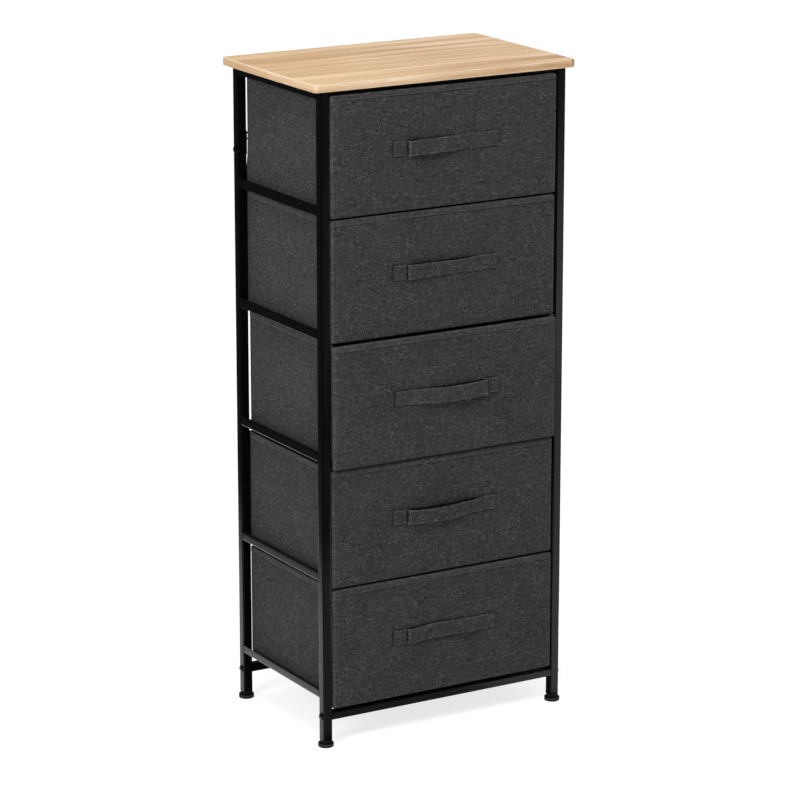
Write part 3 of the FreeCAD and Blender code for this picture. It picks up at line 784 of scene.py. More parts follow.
def make_bin(n):
    bot, top = RUN_Z[n] + 1.8, SIDE_TOP[n]
    pts, nor, s = bin_path(n)
    b = Build()
    # section of the cloth: (offset from the outer line, height, v for the weave)
    hem, lift = 9.4, 0.38
    sec = []
    for a in (90, 60, 30, 0):     # bottom fold
        r = 1.1
        sec.append((-r + r * math.cos(math.radians(a)), bot + r - r * math.sin(math.radians(a))))
    for z in spaced(bot + 1.1, top - hem - 1.2, 4.6, [1.2, 2.2, 3.4, 5.0], [0]):
        sec.append((0.0, z))
    sec += [(-0.22, top - hem - 0.45), (-0.10, top - hem - 0.1), (lift, top - hem + 0.25), (lift, top - hem + 1.2)]
    sec += [(lift, top - 6.6), (lift, top - 4.4), (lift, top - 2.6)]
    r = (WALL + 2 * lift) / 2
    mid = lift - r
    for a in np.linspace(0, 180, 9):
        sec.append((mid + r * math.cos(math.radians(a)), top - r + r * math.sin(math.radians(a))))
    inn = -WALL
    sec += [(inn - lift, top - 2.6), (inn - lift, top - 4.4), (inn - lift, top - 6.6),
            (inn - lift, top - hem + 1.2), (inn - lift, top - hem + 0.25), (inn + 0.10, top - hem - 0.1), (inn + 0.2, top - hem - 0.45)]
    for z in spaced(bot + 1.1, top - hem - 1.2, 4.6, [2.2, 5.0], [0])[::-1]:
        sec.append((inn, z))
    sec += [(inn, bot + 0.9), (inn + 0.3, bot + 0.2), (inn + 0.8, bot)]
    sec = np.array(sec)
    # edge waviness: the open top sags between the corners
    total, side = s[-1], BIN_DEPTH - 8
    u = np.where(s < side, s / side, np.where(s > total - side, (total - s) / side, 0))
    rear = np.clip((s - side) / (total - 2 * side), 0, 1)
    on_side = (s < side) | (s > total - side)
    sag = np.where(on_side, 1.5 * np.sin(np.pi * np.clip(u, 0, 1)), 1.6 * np.sin(np.pi * rear)) + 0.35 * pnoise(s / 48, 3.3, 800 + n)
    sag = (sag + 0.25) * (0.25, 1.0, 1.0, 0.45, 0.45)[n]
    zz = sec[None, :, 1] - sag[:, None] * smooth(0.35, 1.0, (sec[None, :, 1] - bot) / (top - bot))
    sway = bin_sway(n, pts[:, None, 0], None, s[:, None], zz)
    off = sec[None, :, 0] + sway
    P = np.empty((len(pts), len(sec), 3))
    P[..., 0] = pts[:, None, 0] + nor[:, None, 0] * off
    P[..., 1] = pts[:, None, 1] + nor[:, None, 1] * off
    P[..., 2] = zz
    if n == 0:      # below the tie rods the rear wall has been pushed out a little further
        P[..., 1] += 4.2 * smooth(60.0, Y0 + BIN_DEPTH - 4, P[..., 1]) * (1 - smooth(848.0, 884.0, zz))
    v = np.concatenate([[0], np.cumsum(np.linalg.norm(np.diff(sec, axis=0), axis=1))])
    U = np.empty(P.shape[:2] + (2,))
    U[..., 0] = s[:, None] + 1000 * n + 6000
    U[..., 1] = v[None, :]
    inner_from = len(sec) // 2
    # close the section: last column back to the first
    Pc = np.concatenate([P, P[:, :1]], 1)
    Uc = np.concatenate([U, U[:, -1:] + [[[0, 1.0]]]], 1)
    hem_from = next(i for i in range(len(sec)) if sec[i, 1] > top - hem)
    hem_to = next(i for i in range(inner_from, len(sec)) if sec[i, 1] < top - hem)
    cols = np.arange(Pc.shape[1] - 1)
    mats = np.where((cols >= hem_from) & (cols < hem_to - 1), 2, np.where(cols < inner_from, 0, 1))
    # painted light on the walls: painted shade in the step under the hem and along the bottom few mm, painted
    # highlights on the top rim, the hem band and the front corners, and a lighter line along the side's fold
    seam_step_shade = -0.5 * ((np.arange(Pc.shape[1]) == hem_from - 2) | (np.arange(Pc.shape[1]) == hem_from - 1))
    painted_rim_highlight = 0.20 * ((sec[:, 1] > top - 2.0)).astype(float) + 0.16 * ((sec[:, 1] > top - hem)).astype(float)
    corner_highlight = 0.26 * (np.exp(-((s - 1.5) / 2.2) ** 2) + np.exp(-((total - 1.5 - s) / 2.2) ** 2))
    crease = 0.16 * (bump(u, 0.43, 0.005) * on_side) * (1.6 if n == 4 else 1.0)
    under = -0.60 * (np.append(sec[:, 1], sec[0, 1]) < bot + 3.4)
    wr = np.tile(seam_step_shade + under + np.append(painted_rim_highlight, painted_rim_highlight[0]), (len(pts), 1)) + (corner_highlight + crease)[:, None]
    b.grid(Pc[:, : inner_from + 1], Uc[:, : inner_from + 1], mat=np.tile(mats[:inner_from], (len(pts) - 1, 1)), painted_light=wr[:, : inner_from + 1])
    b.grid(Pc[:, inner_from:], Uc[:, inner_from:], mat=np.tile(mats[inner_from:], (len(pts) - 1, 1)), painted_light=wr[:, inner_from:])
    for i in (0, -1):
        base = b.verts(P[i])
        b.face(range(base, base + len(sec)), U[i], 0)
    # the floor: a double layer of cloth, quilted a little by its own weight, welted at the rim
    yf = front_y(n)
    x0, x1 = -BIN_HALF + 0.9, BIN_HALF - 0.9
    y0, y1 = yf + FRONT_T - 0.3, yf + BIN_DEPTH + REAR_OUT[n] - 0.9 + (4.2 if n == 0 else 0.0)
    xs = spaced(x0, x1, 7.5, [0, 0.5, 1.5, 4, 8], [0, 0.5, 1.5, 4, 8])
    ys = spaced(y0, y1, 7.5, [0, 0.5, 1.5, 4, 8], [0, 0.5, 1.5, 4, 8])
    X, Y = np.meshgrid(xs, ys, indexing="ij")
    cx, cy = (x0 + x1) / 2, (y0 + y1) / 2
    ax, ay = np.abs(X - cx), Y - cy
    hx, hy, rc = (x1 - x0) / 2, (y1 - y0) / 2, 4.6
    ca, cb = np.maximum(ax - (hx - rc), 0), np.maximum(ay - (hy - rc), 0)
    both = (ca > 0) & (cb > 0)
    na_, nb_ = outline_in(ca, cb)
    PX = cx + np.where(both, hx - rc + na_, ax) * np.sign(X - cx)
    PY = cy + np.where(both, hy - rc + nb_, ay)
    d = np.minimum(np.minimum(hx - ax, hy - np.abs(ay)), 40)
    d = np.maximum(d, 0)
    edge = 0.8 - np.sqrt(np.maximum(0.8**2 - np.maximum(0.8 - d, 0) ** 2, 0))
    wav = 0.22 * pnoise(PX / 34, PY / 31, 900 + n) * smooth(30, 40, d) - 0.9 * smooth(30, 40, d) * np.sin(np.pi * np.clip((X - x0) / (x1 - x0), 0, 1))
    under = np.stack([PX, PY, bot + edge + wav * 0.8], -1)
    over = np.stack([PX, PY, bot + 1.8 - edge + np.minimum(wav, 0) * 0.2], -1)
    UF = np.stack([X + 500, Y + 9000 + 400 * n], -1)
    b.grid(under, UF, mat=0, flip=True)
    b.grid(over, UF + [[[91, 13]]], mat=1)
    na, nb = X.shape
    loop = ([(i, 0) for i in range(na)] + [(na - 1, j) for j in range(1, nb)]
            + [(i, nb - 1) for i in range(na - 2, -1, -1)] + [(0, j) for j in range(nb - 2, 0, -1)])
    L = np.array(loop)
    A, B_ = under[L[:, 0], L[:, 1]], over[L[:, 0], L[:, 1]]
    R = np.stack([A, B_], 1)
    U2 = np.zeros((len(loop) + 1, 2, 2))
    U2[..., 0] = np.arange(len(loop) + 1)[:, None] * 3
    U2[:, 1, 1] = 1.6
    b.grid(R, U2, close=True)
    return b.make(f"drawer_{n+1}_bin_cloth", [M_FABRIC, M_LINING, M_HEM], smooth_angle=60), (pts, nor, s, sag, bot, top)


# ---------------------------------------------------------------------------------------------
# Pull straps: a folded, topstitched band, sewn flat at both ends, looped out between
# ---------------------------------------------------------------------------------------------
def spline(ctrl, count):
    """Centripetal-free Catmull-Rom through the points, resampled evenly by length."""
    c = np.asarray(ctrl, float)
    c = np.vstack([2 * c[0] - c[1], c, 2 * c[-1] - c[-2]])
    out = []
    for i in range(1, len(c) - 2):
        p0, p1, p2, p3 = c[i - 1], c[i], c[i + 1], c[i + 2]
        t = np.linspace(0, 1, 24, endpoint=False)[:, None]
        out.append(0.5 * (2 * p1 + (p2 - p0) * t + (2 * p0 - 5 * p1 + 4 * p2 - p3) * t**2 + (3 * p1 - p0 - 3 * p2 + p3) * t**3))
    q = np.vstack(out + [c[-2][None]])
    s = np.concatenate([[0], np.cumsum(np.linalg.norm(np.diff(q, axis=0), axis=1))])
    e = np.linspace(0, s[-1], count)
    return np.stack([np.interp(e, s, q[:, k]) for k in range(q.shape[1])], -1), e


def fold(tip, out, back=67.3):
    """The sewn end and the fold over it: tip is the stand-off of the overhanging bend, out that of the band after it."""
    return [(-91, 1.3, 0), (-80, 1.3, 0), (-70, 1.3, 0), (-66.4, 1.35, 0), (-64.2, 1.9, 0), (-63.3, tip * 0.48, 0),
            (-64.3, tip * 0.68, 0), (2.2 - back * 0.985, tip * 0.80, 0), (0.6 - back, tip, 0), (1.4 - back, out * 0.94, 0), (-63.4, out, 0)]


# path: (x, stand-off of the strap's middle, rise of its centre line); twist: (x, how much further out its lower edge is)
STRAPS = [
    dict(flip=False, path=fold(7.2, 9.5) + [(-56, 9.7, .4), (-44, 9.3, .5), (-28, 8.7, .6), (-10, 7.8, .7), (4, 6.0, .7), (14, 3.7, .6),
         (24, 2.0, .6), (34, 1.4, .6), (60, 1.3, .6), (80, 1.3, .7), (91, 1.3, .7)],
         twist=[(-62, 0), (-50, 3), (-30, 6), (-8, 6.5), (5, 5), (15, 2.5), (25, .5), (34, 0)]),
    dict(flip=False, path=fold(6.8, 8.9) + [(-54, 8.6, .2), (-38, 7.6, .2), (-20, 6.8, .2), (0, 6.1, .2), (20, 5.5, .2), (36, 4.4, .1),
         (48, 3.2, 0), (58, 1.9, 0), (66, 1.35, 0), (91, 1.3, 0)],
         twist=[(-62, 0), (-45, -2), (-20, -4), (10, -6), (25, -7), (40, -5), (52, -2), (60, 0)]),
    dict(flip=True, path=fold(7.6, 9.8) + [(-55, 10.7, -.3), (-40, 11.9, -.8), (-25, 12.4, -1.3), (-8, 12.0, -1.5), (12, 10.5, -1.3), (30, 8.0, -.9),
         (45, 5.2, -.5), (56, 3.2, -.2), (64, 2.0, 0), (72, 1.4, 0), (80, 1.3, 0), (91, 1.3, 0)],
         twist=[(-64, 0), (-55, 1), (-40, 3), (-20, 5), (0, 6), (20, 6), (40, 4.5), (62, 1)]),
    dict(flip=False, path=fold(7.8, 10.5) + [(-56, 11.6, -.6), (-44, 12.6, -1.2), (-28, 13.0, -1.6), (-12, 13.0, -1.7), (4, 12.4, -1.4), (18, 11.0, -1.0),
         (30, 9.0, -.5), (42, 6.8, -.2), (52, 5.0, 0), (62, 3.4, 0), (70, 2.0, 0), (77, 1.35, 0), (91, 1.3, 0)],
         twist=[(-62, -1), (-30, -2.5), (0, -2.5), (20, -3), (35, -6), (45, -7), (55, -5.5), (65, -3), (74, -.5), (80, 0)]),
    dict(flip=False, path=fold(6.4, 8.2) + [(-55, 7.4, .9), (-38, 6.2, 2.0), (-18, 5.4, 2.5), (4, 5.2, 2.3), (24, 5.5, 1.8), (42, 5.7, 1.1),
         (54, 4.8, .6), (62, 3.0, .3), (68, 1.7, .1), (74, 1.3, 0), (91, 1.3, 0)],
         twist=[(-62, 0), (-30, 1.5), (0, 2), (30, 3.5), (50, 3), (60, 1), (68, 0)]),
]


def make_strap(n, b_stitch):
    k = STRAPS[n]
    c = np.array(k["path"], float)
    if k["flip"]:
        c = c[::-1].copy()
        c[:, 0] *= -1
    q, e = spline(c, 260)
    zc = STRAP_Z[n]
    yf = front_y(n)
    tw = np.interp(q[:, 0], [t[0] for t in k["twist"]], [t[1] for t in k["twist"]])
    tw = tw * smooth(1.5, 4.0, q[:, 1])
    h = SH * np.sqrt(1 - (tw / (2 * SH)) ** 2)
    # the face of the cloth behind, so that the sewn ends lie on it
    rel = front_relief(n, np.clip(q[:, 0], -90, 90), np.full(len(q), zc))
    on = np.exp(-np.maximum(q[:, 1] - 1.3, 0) / 2.0)
    cx, cy = q[:, 0], yf - q[:, 1] - rel * on
    cz = zc + q[:, 2]
    tx, ty = np.gradient(cx), np.gradient(cy)
    L = np.sqrt(tx * tx + ty * ty)
    tx, ty = tx / L, ty / L
    nx, ny = ty, -tx          # outward (towards -Y) for a path running +X
    bend = np.abs(np.gradient(np.unwrap(np.arctan2(ty, tx)), e))
    # section: outer face from bottom to top, over the fold, inner face back down
    zs = np.array([-1, -.985, -.95, -.90, -.84, -.80, -.76, -.70, -.5, -.25, 0, .25, .5, .70, .76, .80, .84, .90, .95, .985, 1.0])
    half = 1.10 * np.sqrt(np.clip(1 - np.clip((np.abs(zs) - 0.90) / 0.10, 0, 1) ** 2.4, 0, 1))
    half[[0, -1]] = 0.0
    outer = half + 0.26 * bump(np.abs(zs), 0.90, 0.05) - 0.24 * bump(np.abs(zs), 0.80, 0.028)
    inner = -half + 0.10 * bump(np.abs(zs), 0.80, 0.028)
    sec_z = np.concatenate([zs, zs[-2:0:-1]])
    sec_o = np.concatenate([outer, inner[-2:0:-1]])
    m = len(sec_z)
    Z = cz[:, None] + h[:, None] * sec_z[None, :]
    # gentle ripple, and the band cups a little where it stands free
    free = (smooth(2.0, 8.0, q[:, 1]) * (1 - smooth(0.12, 0.4, bend)))[:, None]
    rip = (0.10 * pnoise(e[:, None] / 7.0, sec_z[None, :] * 1.2, 300 + n) + 0.24 * pnoise(e[:, None] / 26.0, sec_z[None, :] * 0.8 + 4, 320 + n)) * (0.35 + 0.65 * free)
    O = sec_o[None, :] + rip - 0.5 * free * (sec_z[None, :] ** 2 - 0.3)
    edge_wave = 0.30 * pnoise(e[:, None] / 14.0, np.sign(sec_z[None, :]) * 3 + 0.5, 340 + n) * np.abs(sec_z[None, :]) ** 3
    lean = tw[:, None] / 2 * sec_z[None, :]
    P = np.stack([cx[:, None] + nx[:, None] * O, cy[:, None] + ny[:, None] * O + lean, Z + edge_wave], -1)
    U = np.zeros(P.shape[:2] + (2,))
    U[..., 0] = e[:, None] + 12000 + 300 * n
    v = np.concatenate([[0], np.cumsum(np.abs(np.diff(SH * sec_z)) + 0.001)])
    U[..., 1] = v[None, :]
    # painted highlights along both edges and on the outer bend, painted shade inside the fold and under the overlap
    out = np.concatenate([np.ones(len(zs)), np.zeros(len(zs) - 2)])
    edge_highlight = 0.58 * smooth(0.83, 0.92, np.abs(sec_z)) * out
    fx = q[:, 0] * (1 if k["flip"] else -1)
    low = (q[:, 1] < k["path"][8][1] * 0.92) & (q[:, 1] > 1.45) & (fx > 61.5) & (fx < 69.5)
    fold_shade = np.zeros(len(q))
    for i in np.flatnonzero(low):
        fold_shade = np.maximum(fold_shade, np.exp(-((e - e[i]) / 1.6) ** 2))
    lap_shade = (1 - smooth(3.0, 5.5, np.abs(fx - (68.6 if k["flip"] else 64.0)))) * (q[:, 1] < 1.6)
    dark = np.maximum(fold_shade, 0.9 * lap_shade)
    top_of = np.flatnonzero((q[:, 1] > 0.75 * k["path"][8][1]) & (fx > 60))
    tip = e[top_of[np.argmax(fx[top_of])]]
    bend_highlight = 0.50 * np.exp(-((e - tip - (-0.9 if k["flip"] else 0.9)) / 1.3) ** 2)
    painted_light = edge_highlight[None, :] - 0.90 * dark[:, None] + (bend_highlight[:, None] * out[None, :])
    b = Build()
    Pc = np.concatenate([P, P[:, :1]], 1)
    Uc = np.concatenate([U, U[:, -1:] + [[[0, .8]]]], 1)
    b.grid(Pc, Uc, painted_light=np.concatenate([painted_light, painted_light[:, :1]], 1))
    # the turned-in ends: closed with a small rounding
    for i, sgn in ((0, -1), (-1, 1)):
        ring = P[i].copy()
        cen = ring.mean(0)
        t = np.array([tx[i], ty[i], 0.0]) * sgn
        flat = ring + t * 0.5
        flat = cen + t * 0.5 + (flat - (cen + t * 0.5)) * [1, 0.6, 0.975]
        rows = np.stack([ring, flat], 0)
        rows = np.concatenate([rows, rows[:, :1]], 1)
        Ue = np.zeros((2, m + 1, 2))
        Ue[0, :, 1] = Ue[1, :, 1] = np.append(v, v[-1] + 1)
        Ue[1, :, 0] = 0.5
        # the turned-in ends are darkened as painted shade
        b.grid(rows, Ue, painted_light=-0.5)
        base = b.verts(flat, -0.6)
        b.face(range(base, base + m), [(0, t_) for t_ in v])
    o = b.make(f"drawer_{n+1}_pull_strap", M_FABRIC, smooth_angle=50)
    # topstitching along both edges
    for zz in (-0.80, 0.80):
        j = int(np.argmin(np.abs(zs - zz)))
        line = P[:, j]
        nn = np.stack([nx, ny, np.zeros_like(nx)], -1)
        stitches(b_stitch, line + nn * 0.02, nn, pitch=3.6, length=2.7, radius=0.21, seed=n * 7 + j)
    # the sewn boxes at both ends
    for a0, a1 in ((-88.4, -69.5), (72.5, 88.4)) if not k["flip"] else ((-88.4, -72.5), (69.5, 88.4)):
        for x in (a0, a1):
            i = int(np.argmin(np.abs(cx - x)))
            zz = np.linspace(cz[i] - 0.80 * SH, cz[i] + 0.80 * SH, 12)
            pp = np.stack([np.full(12, x), np.full(12, cy[i] - 1.14), zz], -1)
            stitches(b_stitch, pp, np.tile([0, -1, 0], (12, 1)), pitch=3.4, length=2.6, radius=0.21, skip_ends=0.2, seed=n + 3)
    return o


def drawer_stitches(n, path):
    """The thread that shows on the front, the side seams and the hems."""
    b = Build()
    hw, top, bot, yf = FRONT_W / 2, FRONT_TOP[n], FRONT_BOT[n], front_y(n)

    def on_front(x, z):
        x, z = np.broadcast_arrays(np.asarray(x, float), np.asarray(z, float))
        p = np.stack([x, yf - front_relief(n, x, z), z + front_edge_shift(n, x, z)], -1)
        return p, np.tile([0.0, -1.0, 0.0], (len(x), 1))

    stitches(b, *on_front(np.linspace(-hw + 6, hw - 6, 300), top - HEM + 1.5), pitch=4.2, length=3.1, seed=n)
    for sx in (-1, 1):
        stitches(b, *on_front(sx * (hw - SEAM - 1.6), np.linspace(bot + 5, top - HEM - 1.5, 160)), pitch=4.2, length=3.1, seed=n + 2)
    pts, nor, s, sag, b0, t0 = path
    for hgt, lift in ((t0 - 9.4 + 1.7, 0.38),):
        zz = hgt - sag * smooth(0.35, 1.0, (hgt - b0) / (t0 - b0))
        w = bin_sway(n, pts[:, 0], None, s, zz) + lift
        p = np.stack([pts[:, 0] + nor[:, 0] * w, pts[:, 1] + nor[:, 1] * w, zz], -1)
        nn = np.stack([nor[:, 0], nor[:, 1], np.zeros(len(nor))], -1)
        stitches(b, p, nn, pitch=4.2, length=3.1, skip_ends=3, seed=n + 5)
        w2 = bin_sway(n, pts[:, 0], None, s, zz) - WALL - lift
        p2 = np.stack([pts[:, 0] + nor[:, 0] * w2, pts[:, 1] + nor[:, 1] * w2, zz], -1)
        stitches(b, p2, -nn, pitch=4.2, length=3.1, skip_ends=3, seed=n + 6)
    return b


for n in range(5):
    body = f"drawer_{n+1}"
    front = make_front(n)
    cloth, path = make_bin(n)
    sb = drawer_stitches(n, path)
    strap = make_strap(n, sb)
    thread_o = sb.make(f"drawer_{n+1}_stitching", M_THREAD, merge=0, recalc=True)
    for o in (front, cloth, strap, thread_o):
        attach(o, body)
    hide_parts(f"drawer_{n+1}_bin")
    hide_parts(f"drawer_{n+1}_strap")


# ---------------------------------------------------------------------------------------------
# Tabletop: laminated board with an edge band, rounded corners and a soft arris
# ---------------------------------------------------------------------------------------------
def make_tabletop():
    lo, hi = [c * 1000 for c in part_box("tabletop")[0]], [c * 1000 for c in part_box("tabletop")[1]]
    R, e = 8.0, 1.1
    b = Build()

    def loop(inset, r):
        pts = []
        x0, x1, y0, y1 = lo[0] + inset, hi[0] - inset, lo[1] + inset, hi[1] - inset
        for cx, cy, a0 in ((x1 - r, y0 + r, -90), (x1 - r, y1 - r, 0), (x0 + r, y1 - r, 90), (x0 + r, y0 + r, 180)):
            for a in np.linspace(a0, a0 + 90, 13):
                pts.append((cx + r * math.cos(math.radians(a)), cy + r * math.sin(math.radians(a))))
        return np.array(pts)

    rows = []
    for a in (90, 60, 30, 0):      # lower arris
        i = e * (1 - math.cos(math.radians(a)))
        rows.append((i, lo[2] + e - e * math.sin(math.radians(a))))
    rows.append((0.0, (lo[2] + hi[2]) / 2))
    for a in (0, 22, 45, 68, 90):   # upper arris
        i = e * (1 - math.cos(math.radians(a)))
        rows.append((i, hi[2] - e + e * math.sin(math.radians(a))))
    # the glue line of the edge band on the upper and lower faces
    tops = [(1.25, hi[2]), (1.36, hi[2] - 0.10), (1.47, hi[2]), (3.0, hi[2])]
    bots = [(3.0, lo[2]), (1.47, lo[2]), (1.36, lo[2] + 0.10), (1.25, lo[2])]
    prof = bots + rows + tops
    P = np.stack([np.column_stack([loop(i, R - i), np.full(52, z)]) for i, z in prof], 1)
    L = loop(0, R)
    s = np.concatenate([[0], np.cumsum(np.linalg.norm(np.diff(np.vstack([L, L[:1]]), axis=0), axis=1))])
    d = np.concatenate([[0], np.cumsum([math.hypot(p[0] - q[0], p[1] - q[1]) for p, q in zip(prof[1:], prof[:-1])])])
    U = np.zeros((53, len(prof), 2))
    U[..., 0] = s[:, None] + 3000
    U[..., 1] = d[None, :] + 700
    # the face's own strips read the board's plan, the band reads along the edge
    plan = np.zeros((53, len(prof), 2))
    Pw = np.vstack([P, P[:1]])
    plan[..., 0], plan[..., 1] = Pw[..., 0], Pw[..., 1]
    nb = len(bots)
    b.grid(P[:, : nb - 1], plan[:, : nb - 1] + [[[900, 400]]], close=True)
    rim = P[:, nb - 2: -2]
    zr = np.array([z for _, z in prof])[nb - 2: -2]
    # the rows on the upper and lower arris take that lighter oak, a painted highlight
    painted_arris_highlight = ((zr[:-1] + zr[1:]) / 2 > hi[2] - e * 0.92) | ((zr[:-1] + zr[1:]) / 2 < lo[2] + e * 0.8)
    b.grid(rim, U[:, nb - 2: -2], close=True, mat=np.tile(np.where(painted_arris_highlight, 1, 2), (52, 1)))
    b.grid(P[:, -3:], plan[:, -3:], close=True)
    # faces
    base = b.verts(P[:, -1])
    b.face(range(base, base + 52), P[:, -1, :2])
    base = b.verts(P[:, 0])
    b.face(range(base, base + 52)[::-1], P[::-1, 0, :2] + [900, 400])
    return b.make("tabletop_board", [M_OAK, M_ARRIS, M_BAND], smooth_angle=35)


top = make_tabletop()
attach(top, "frame")
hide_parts("tabletop")


# ---------------------------------------------------------------------------------------------
# Turned pieces: feet, stems, bolts
# ---------------------------------------------------------------------------------------------
def lathe(b, cx, cy, prof, seg=64, painted_light=0.0, uvo=0.0):
    """prof: (radius, height) from one end on the axis to the other; turned about a vertical line; painted light: one
    value a row, above 0 a painted highlight, below 0 painted shade.
    """
    a = np.linspace(0, 2 * np.pi, seg, endpoint=False)
    prof = np.array(prof, float)
    r, h = prof[:, 0], prof[:, 1]
    P = np.zeros((seg, len(prof), 3))
    P[..., 0] = cx + r[None, :] * np.cos(a)[:, None]
    P[..., 1] = cy + r[None, :] * np.sin(a)[:, None]
    P[..., 2] = h[None, :]
    U = np.zeros((seg + 1, len(prof), 2))
    U[..., 0] = (np.arange(seg + 1) / seg * 60)[:, None] + uvo
    U[..., 1] = np.concatenate([[0], np.cumsum(np.linalg.norm(np.diff(prof, axis=0), axis=1))])[None, :]
    idx = b.grid(P, U, close=True, painted_light=np.broadcast_to(painted_light, (seg, len(prof))))
    b.face(idx[:-1, 0][::-1], [(0, 0)] * seg)
    b.face(idx[:-1, -1], [(0, 0)] * seg)
    return idx


FEET = {"front_left": (-POST_X, POST_YF), "front_right": (POST_X, POST_YF),
        "rear_left": (-POST_X, POST_YR), "rear_right": (POST_X, POST_YR)}


def arc(cr, cz, r, a0, a1, n):
    return [(cr + r * math.cos(math.radians(a)), cz + r * math.sin(math.radians(a))) for a in np.linspace(a0, a1, n)]


for where, (cx, cy) in FEET.items():
    b = Build()
    prof = [(0.001, 1.1), (7.6, 1.1), (7.9, 0.9), (8.2, 0.25), (8.6, 0.0), (10.7, 0.0)]
    prof += arc(10.7, 1.3, 1.3, -90, 0, 6)[1:] + [(12.0, 3.2), (12.0, 4.6)]
    prof += arc(11.2, 5.6, 0.8, 0, 90, 6) + [(10.7, 6.4), (10.25, 6.5), (10.05, 6.75), (10.1, 7.1)]
    prof += [(9.9, 7.7), (9.4, 8.4), (9.0, 8.8), (8.9, 9.1)]
    prof += arc(8.25, 9.15, 0.65, 0, 90, 4) + [(5.0, 9.9), (3.45, 10.0), (3.30, 9.85), (3.15, 9.4), (3.1, 7.5), (0.001, 7.5)]
    hh, rr = np.array(prof)[:, 1], np.array(prof)[:, 0]
    # painted highlights on the disc's rim and the upper ring, painted shade in the groove and along the base
    rim_highlight_and_base_shade = 1.9 * bump(hh, 4.1, 1.3) * (rr > 11.0) + 0.5 * bump(hh, 9.3, 0.5) * (rr > 7.0) - 0.26 * bump(hh, 6.7, 0.5) - 0.28 * (hh < 2.0)
    lathe(b, cx, cy, prof, 72, painted_light=np.maximum(rim_highlight_and_base_shade, -0.28))
    pad = b.make(f"foot_pad_{where}_moulded", M_PLASTIC, smooth_angle=38)
    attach(pad, f"foot_{where}")
    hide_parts(f"foot_pad_{where}")
    # threaded stem: a rolled thread of 1 mm pitch
    b = Build()
    seg, pitch, z0, z1 = 24, 1.0, 4.0, 34.0
    turns = int((z1 - z0 - 1.2) / pitch)
    rows = turns * 6
    a = np.linspace(0, 2 * np.pi, seg + 1)
    P = np.zeros((seg, rows + 1, 3))
    wave = np.array([2.62, 2.72, 2.90, 2.98, 2.90, 2.72])
    for j in range(rows + 1):
        for i in range(seg):
            ph = (j / 6.0 - i / seg) % 1.0 * 6
            lo_ = int(ph) % 6
            f = ph - int(ph)
            r = wave[lo_] * (1 - f) + wave[(lo_ + 1) % 6] * f
            z = z0 + j * pitch / 6
            r = min(r, 2.5 + 0.5 * min(1, (z1 - 1.2 - z) / 1.5 + 0.2)) if z > z1 - 3 else r
            P[i, j] = (cx + r * math.cos(a[i]), cy + r * math.sin(a[i]), z)
    U = np.zeros((seg + 1, rows + 1, 2))
    U[..., 0] = np.linspace(0, 18, seg + 1)[:, None]
    U[..., 1] = np.arange(rows + 1)[None, :] / 6.0
    idx = b.grid(P, U, close=True)
    tip = b.verts([(cx + 1.9 * math.cos(t), cy + 1.9 * math.sin(t), z1) for t in a[:-1]])
    for i in range(seg):
        j = (i + 1) % seg
        b.face((idx[i, -1], idx[j, -1], tip + j, tip + i), [(0, 0), (1, 0), (1, 1), (0, 1)])
    b.face(range(tip, tip + seg), [(0, 0)] * seg)
    b.face(idx[:-1, 0][::-1], [(0, 0)] * seg)
    stem = b.make(f"foot_stem_{where}_threaded", M_ZINC, smooth_angle=50)
    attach(stem, f"foot_{where}")
    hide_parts(f"foot_stem_{where}")


def make_bolts():
    """Button-head bolts with a hexagon socket, on the posts' outer faces."""
    b = Build()
    places = [(sx, y, 48.75) for sx in (-1, 1) for y in (Y0 + 7.75, Y0 + 264.25)]
    places += [(sx, Y0 + 264.25, 882.0) for sx in (-1, 1)]
    seg = 48
    for kk, (sx, y, z) in enumerate(places):
        face_x = 212.5
        prof = [(5.35, -0.02), (5.4, 0.35)] + [(5.4 * math.cos(math.radians(a)) ** 0.75, 0.35 + 2.75 * math.sin(math.radians(a))) for a in (18, 34, 48, 58, 64)]
        prof += [(2.35, 3.0), (2.15, 2.92)]
        turn = math.radians(11 + 37 * kk)
        ang = np.linspace(0, 2 * np.pi, seg, endpoint=False)
        rows = [[(r, r, h)] * seg for r, h in prof]
        hexr = []
        for t in ang:                      # the socket's hexagon as a radius
            q = (t - turn) % (math.pi / 3) - math.pi / 6
            hexr.append(1.62 / math.cos(q))
        P = np.zeros((seg, len(prof) + 3, 3))
        for i, t in enumerate(ang):
            ring = [(r, h) for r, h in prof] + [(hexr[i] + 0.08, 2.78), (hexr[i], 2.6), (hexr[i], 1.1)]
            for j, (r, h) in enumerate(ring):
                P[i, j] = (sx * (face_x + h), y + r * math.cos(t) * sx, z + r * math.sin(t))
        U = np.zeros((seg + 1, P.shape[1], 2))
        U[..., 0] = np.linspace(0, 30, seg + 1)[:, None]
        U[..., 1] = np.arange(P.shape[1])[None, :] * 0.8
        idx = b.grid(P, U, close=True)
        b.face(idx[:-1, 0][::-1], [(0, 0)] * seg)
        b.face(idx[:-1, -1], [(0, 0)] * seg)
    return b.make("frame_bolt_heads", M_BOLT, smooth_angle=42)


bolts = make_bolts()
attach(bolts, "frame")
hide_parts("frame_bolts")


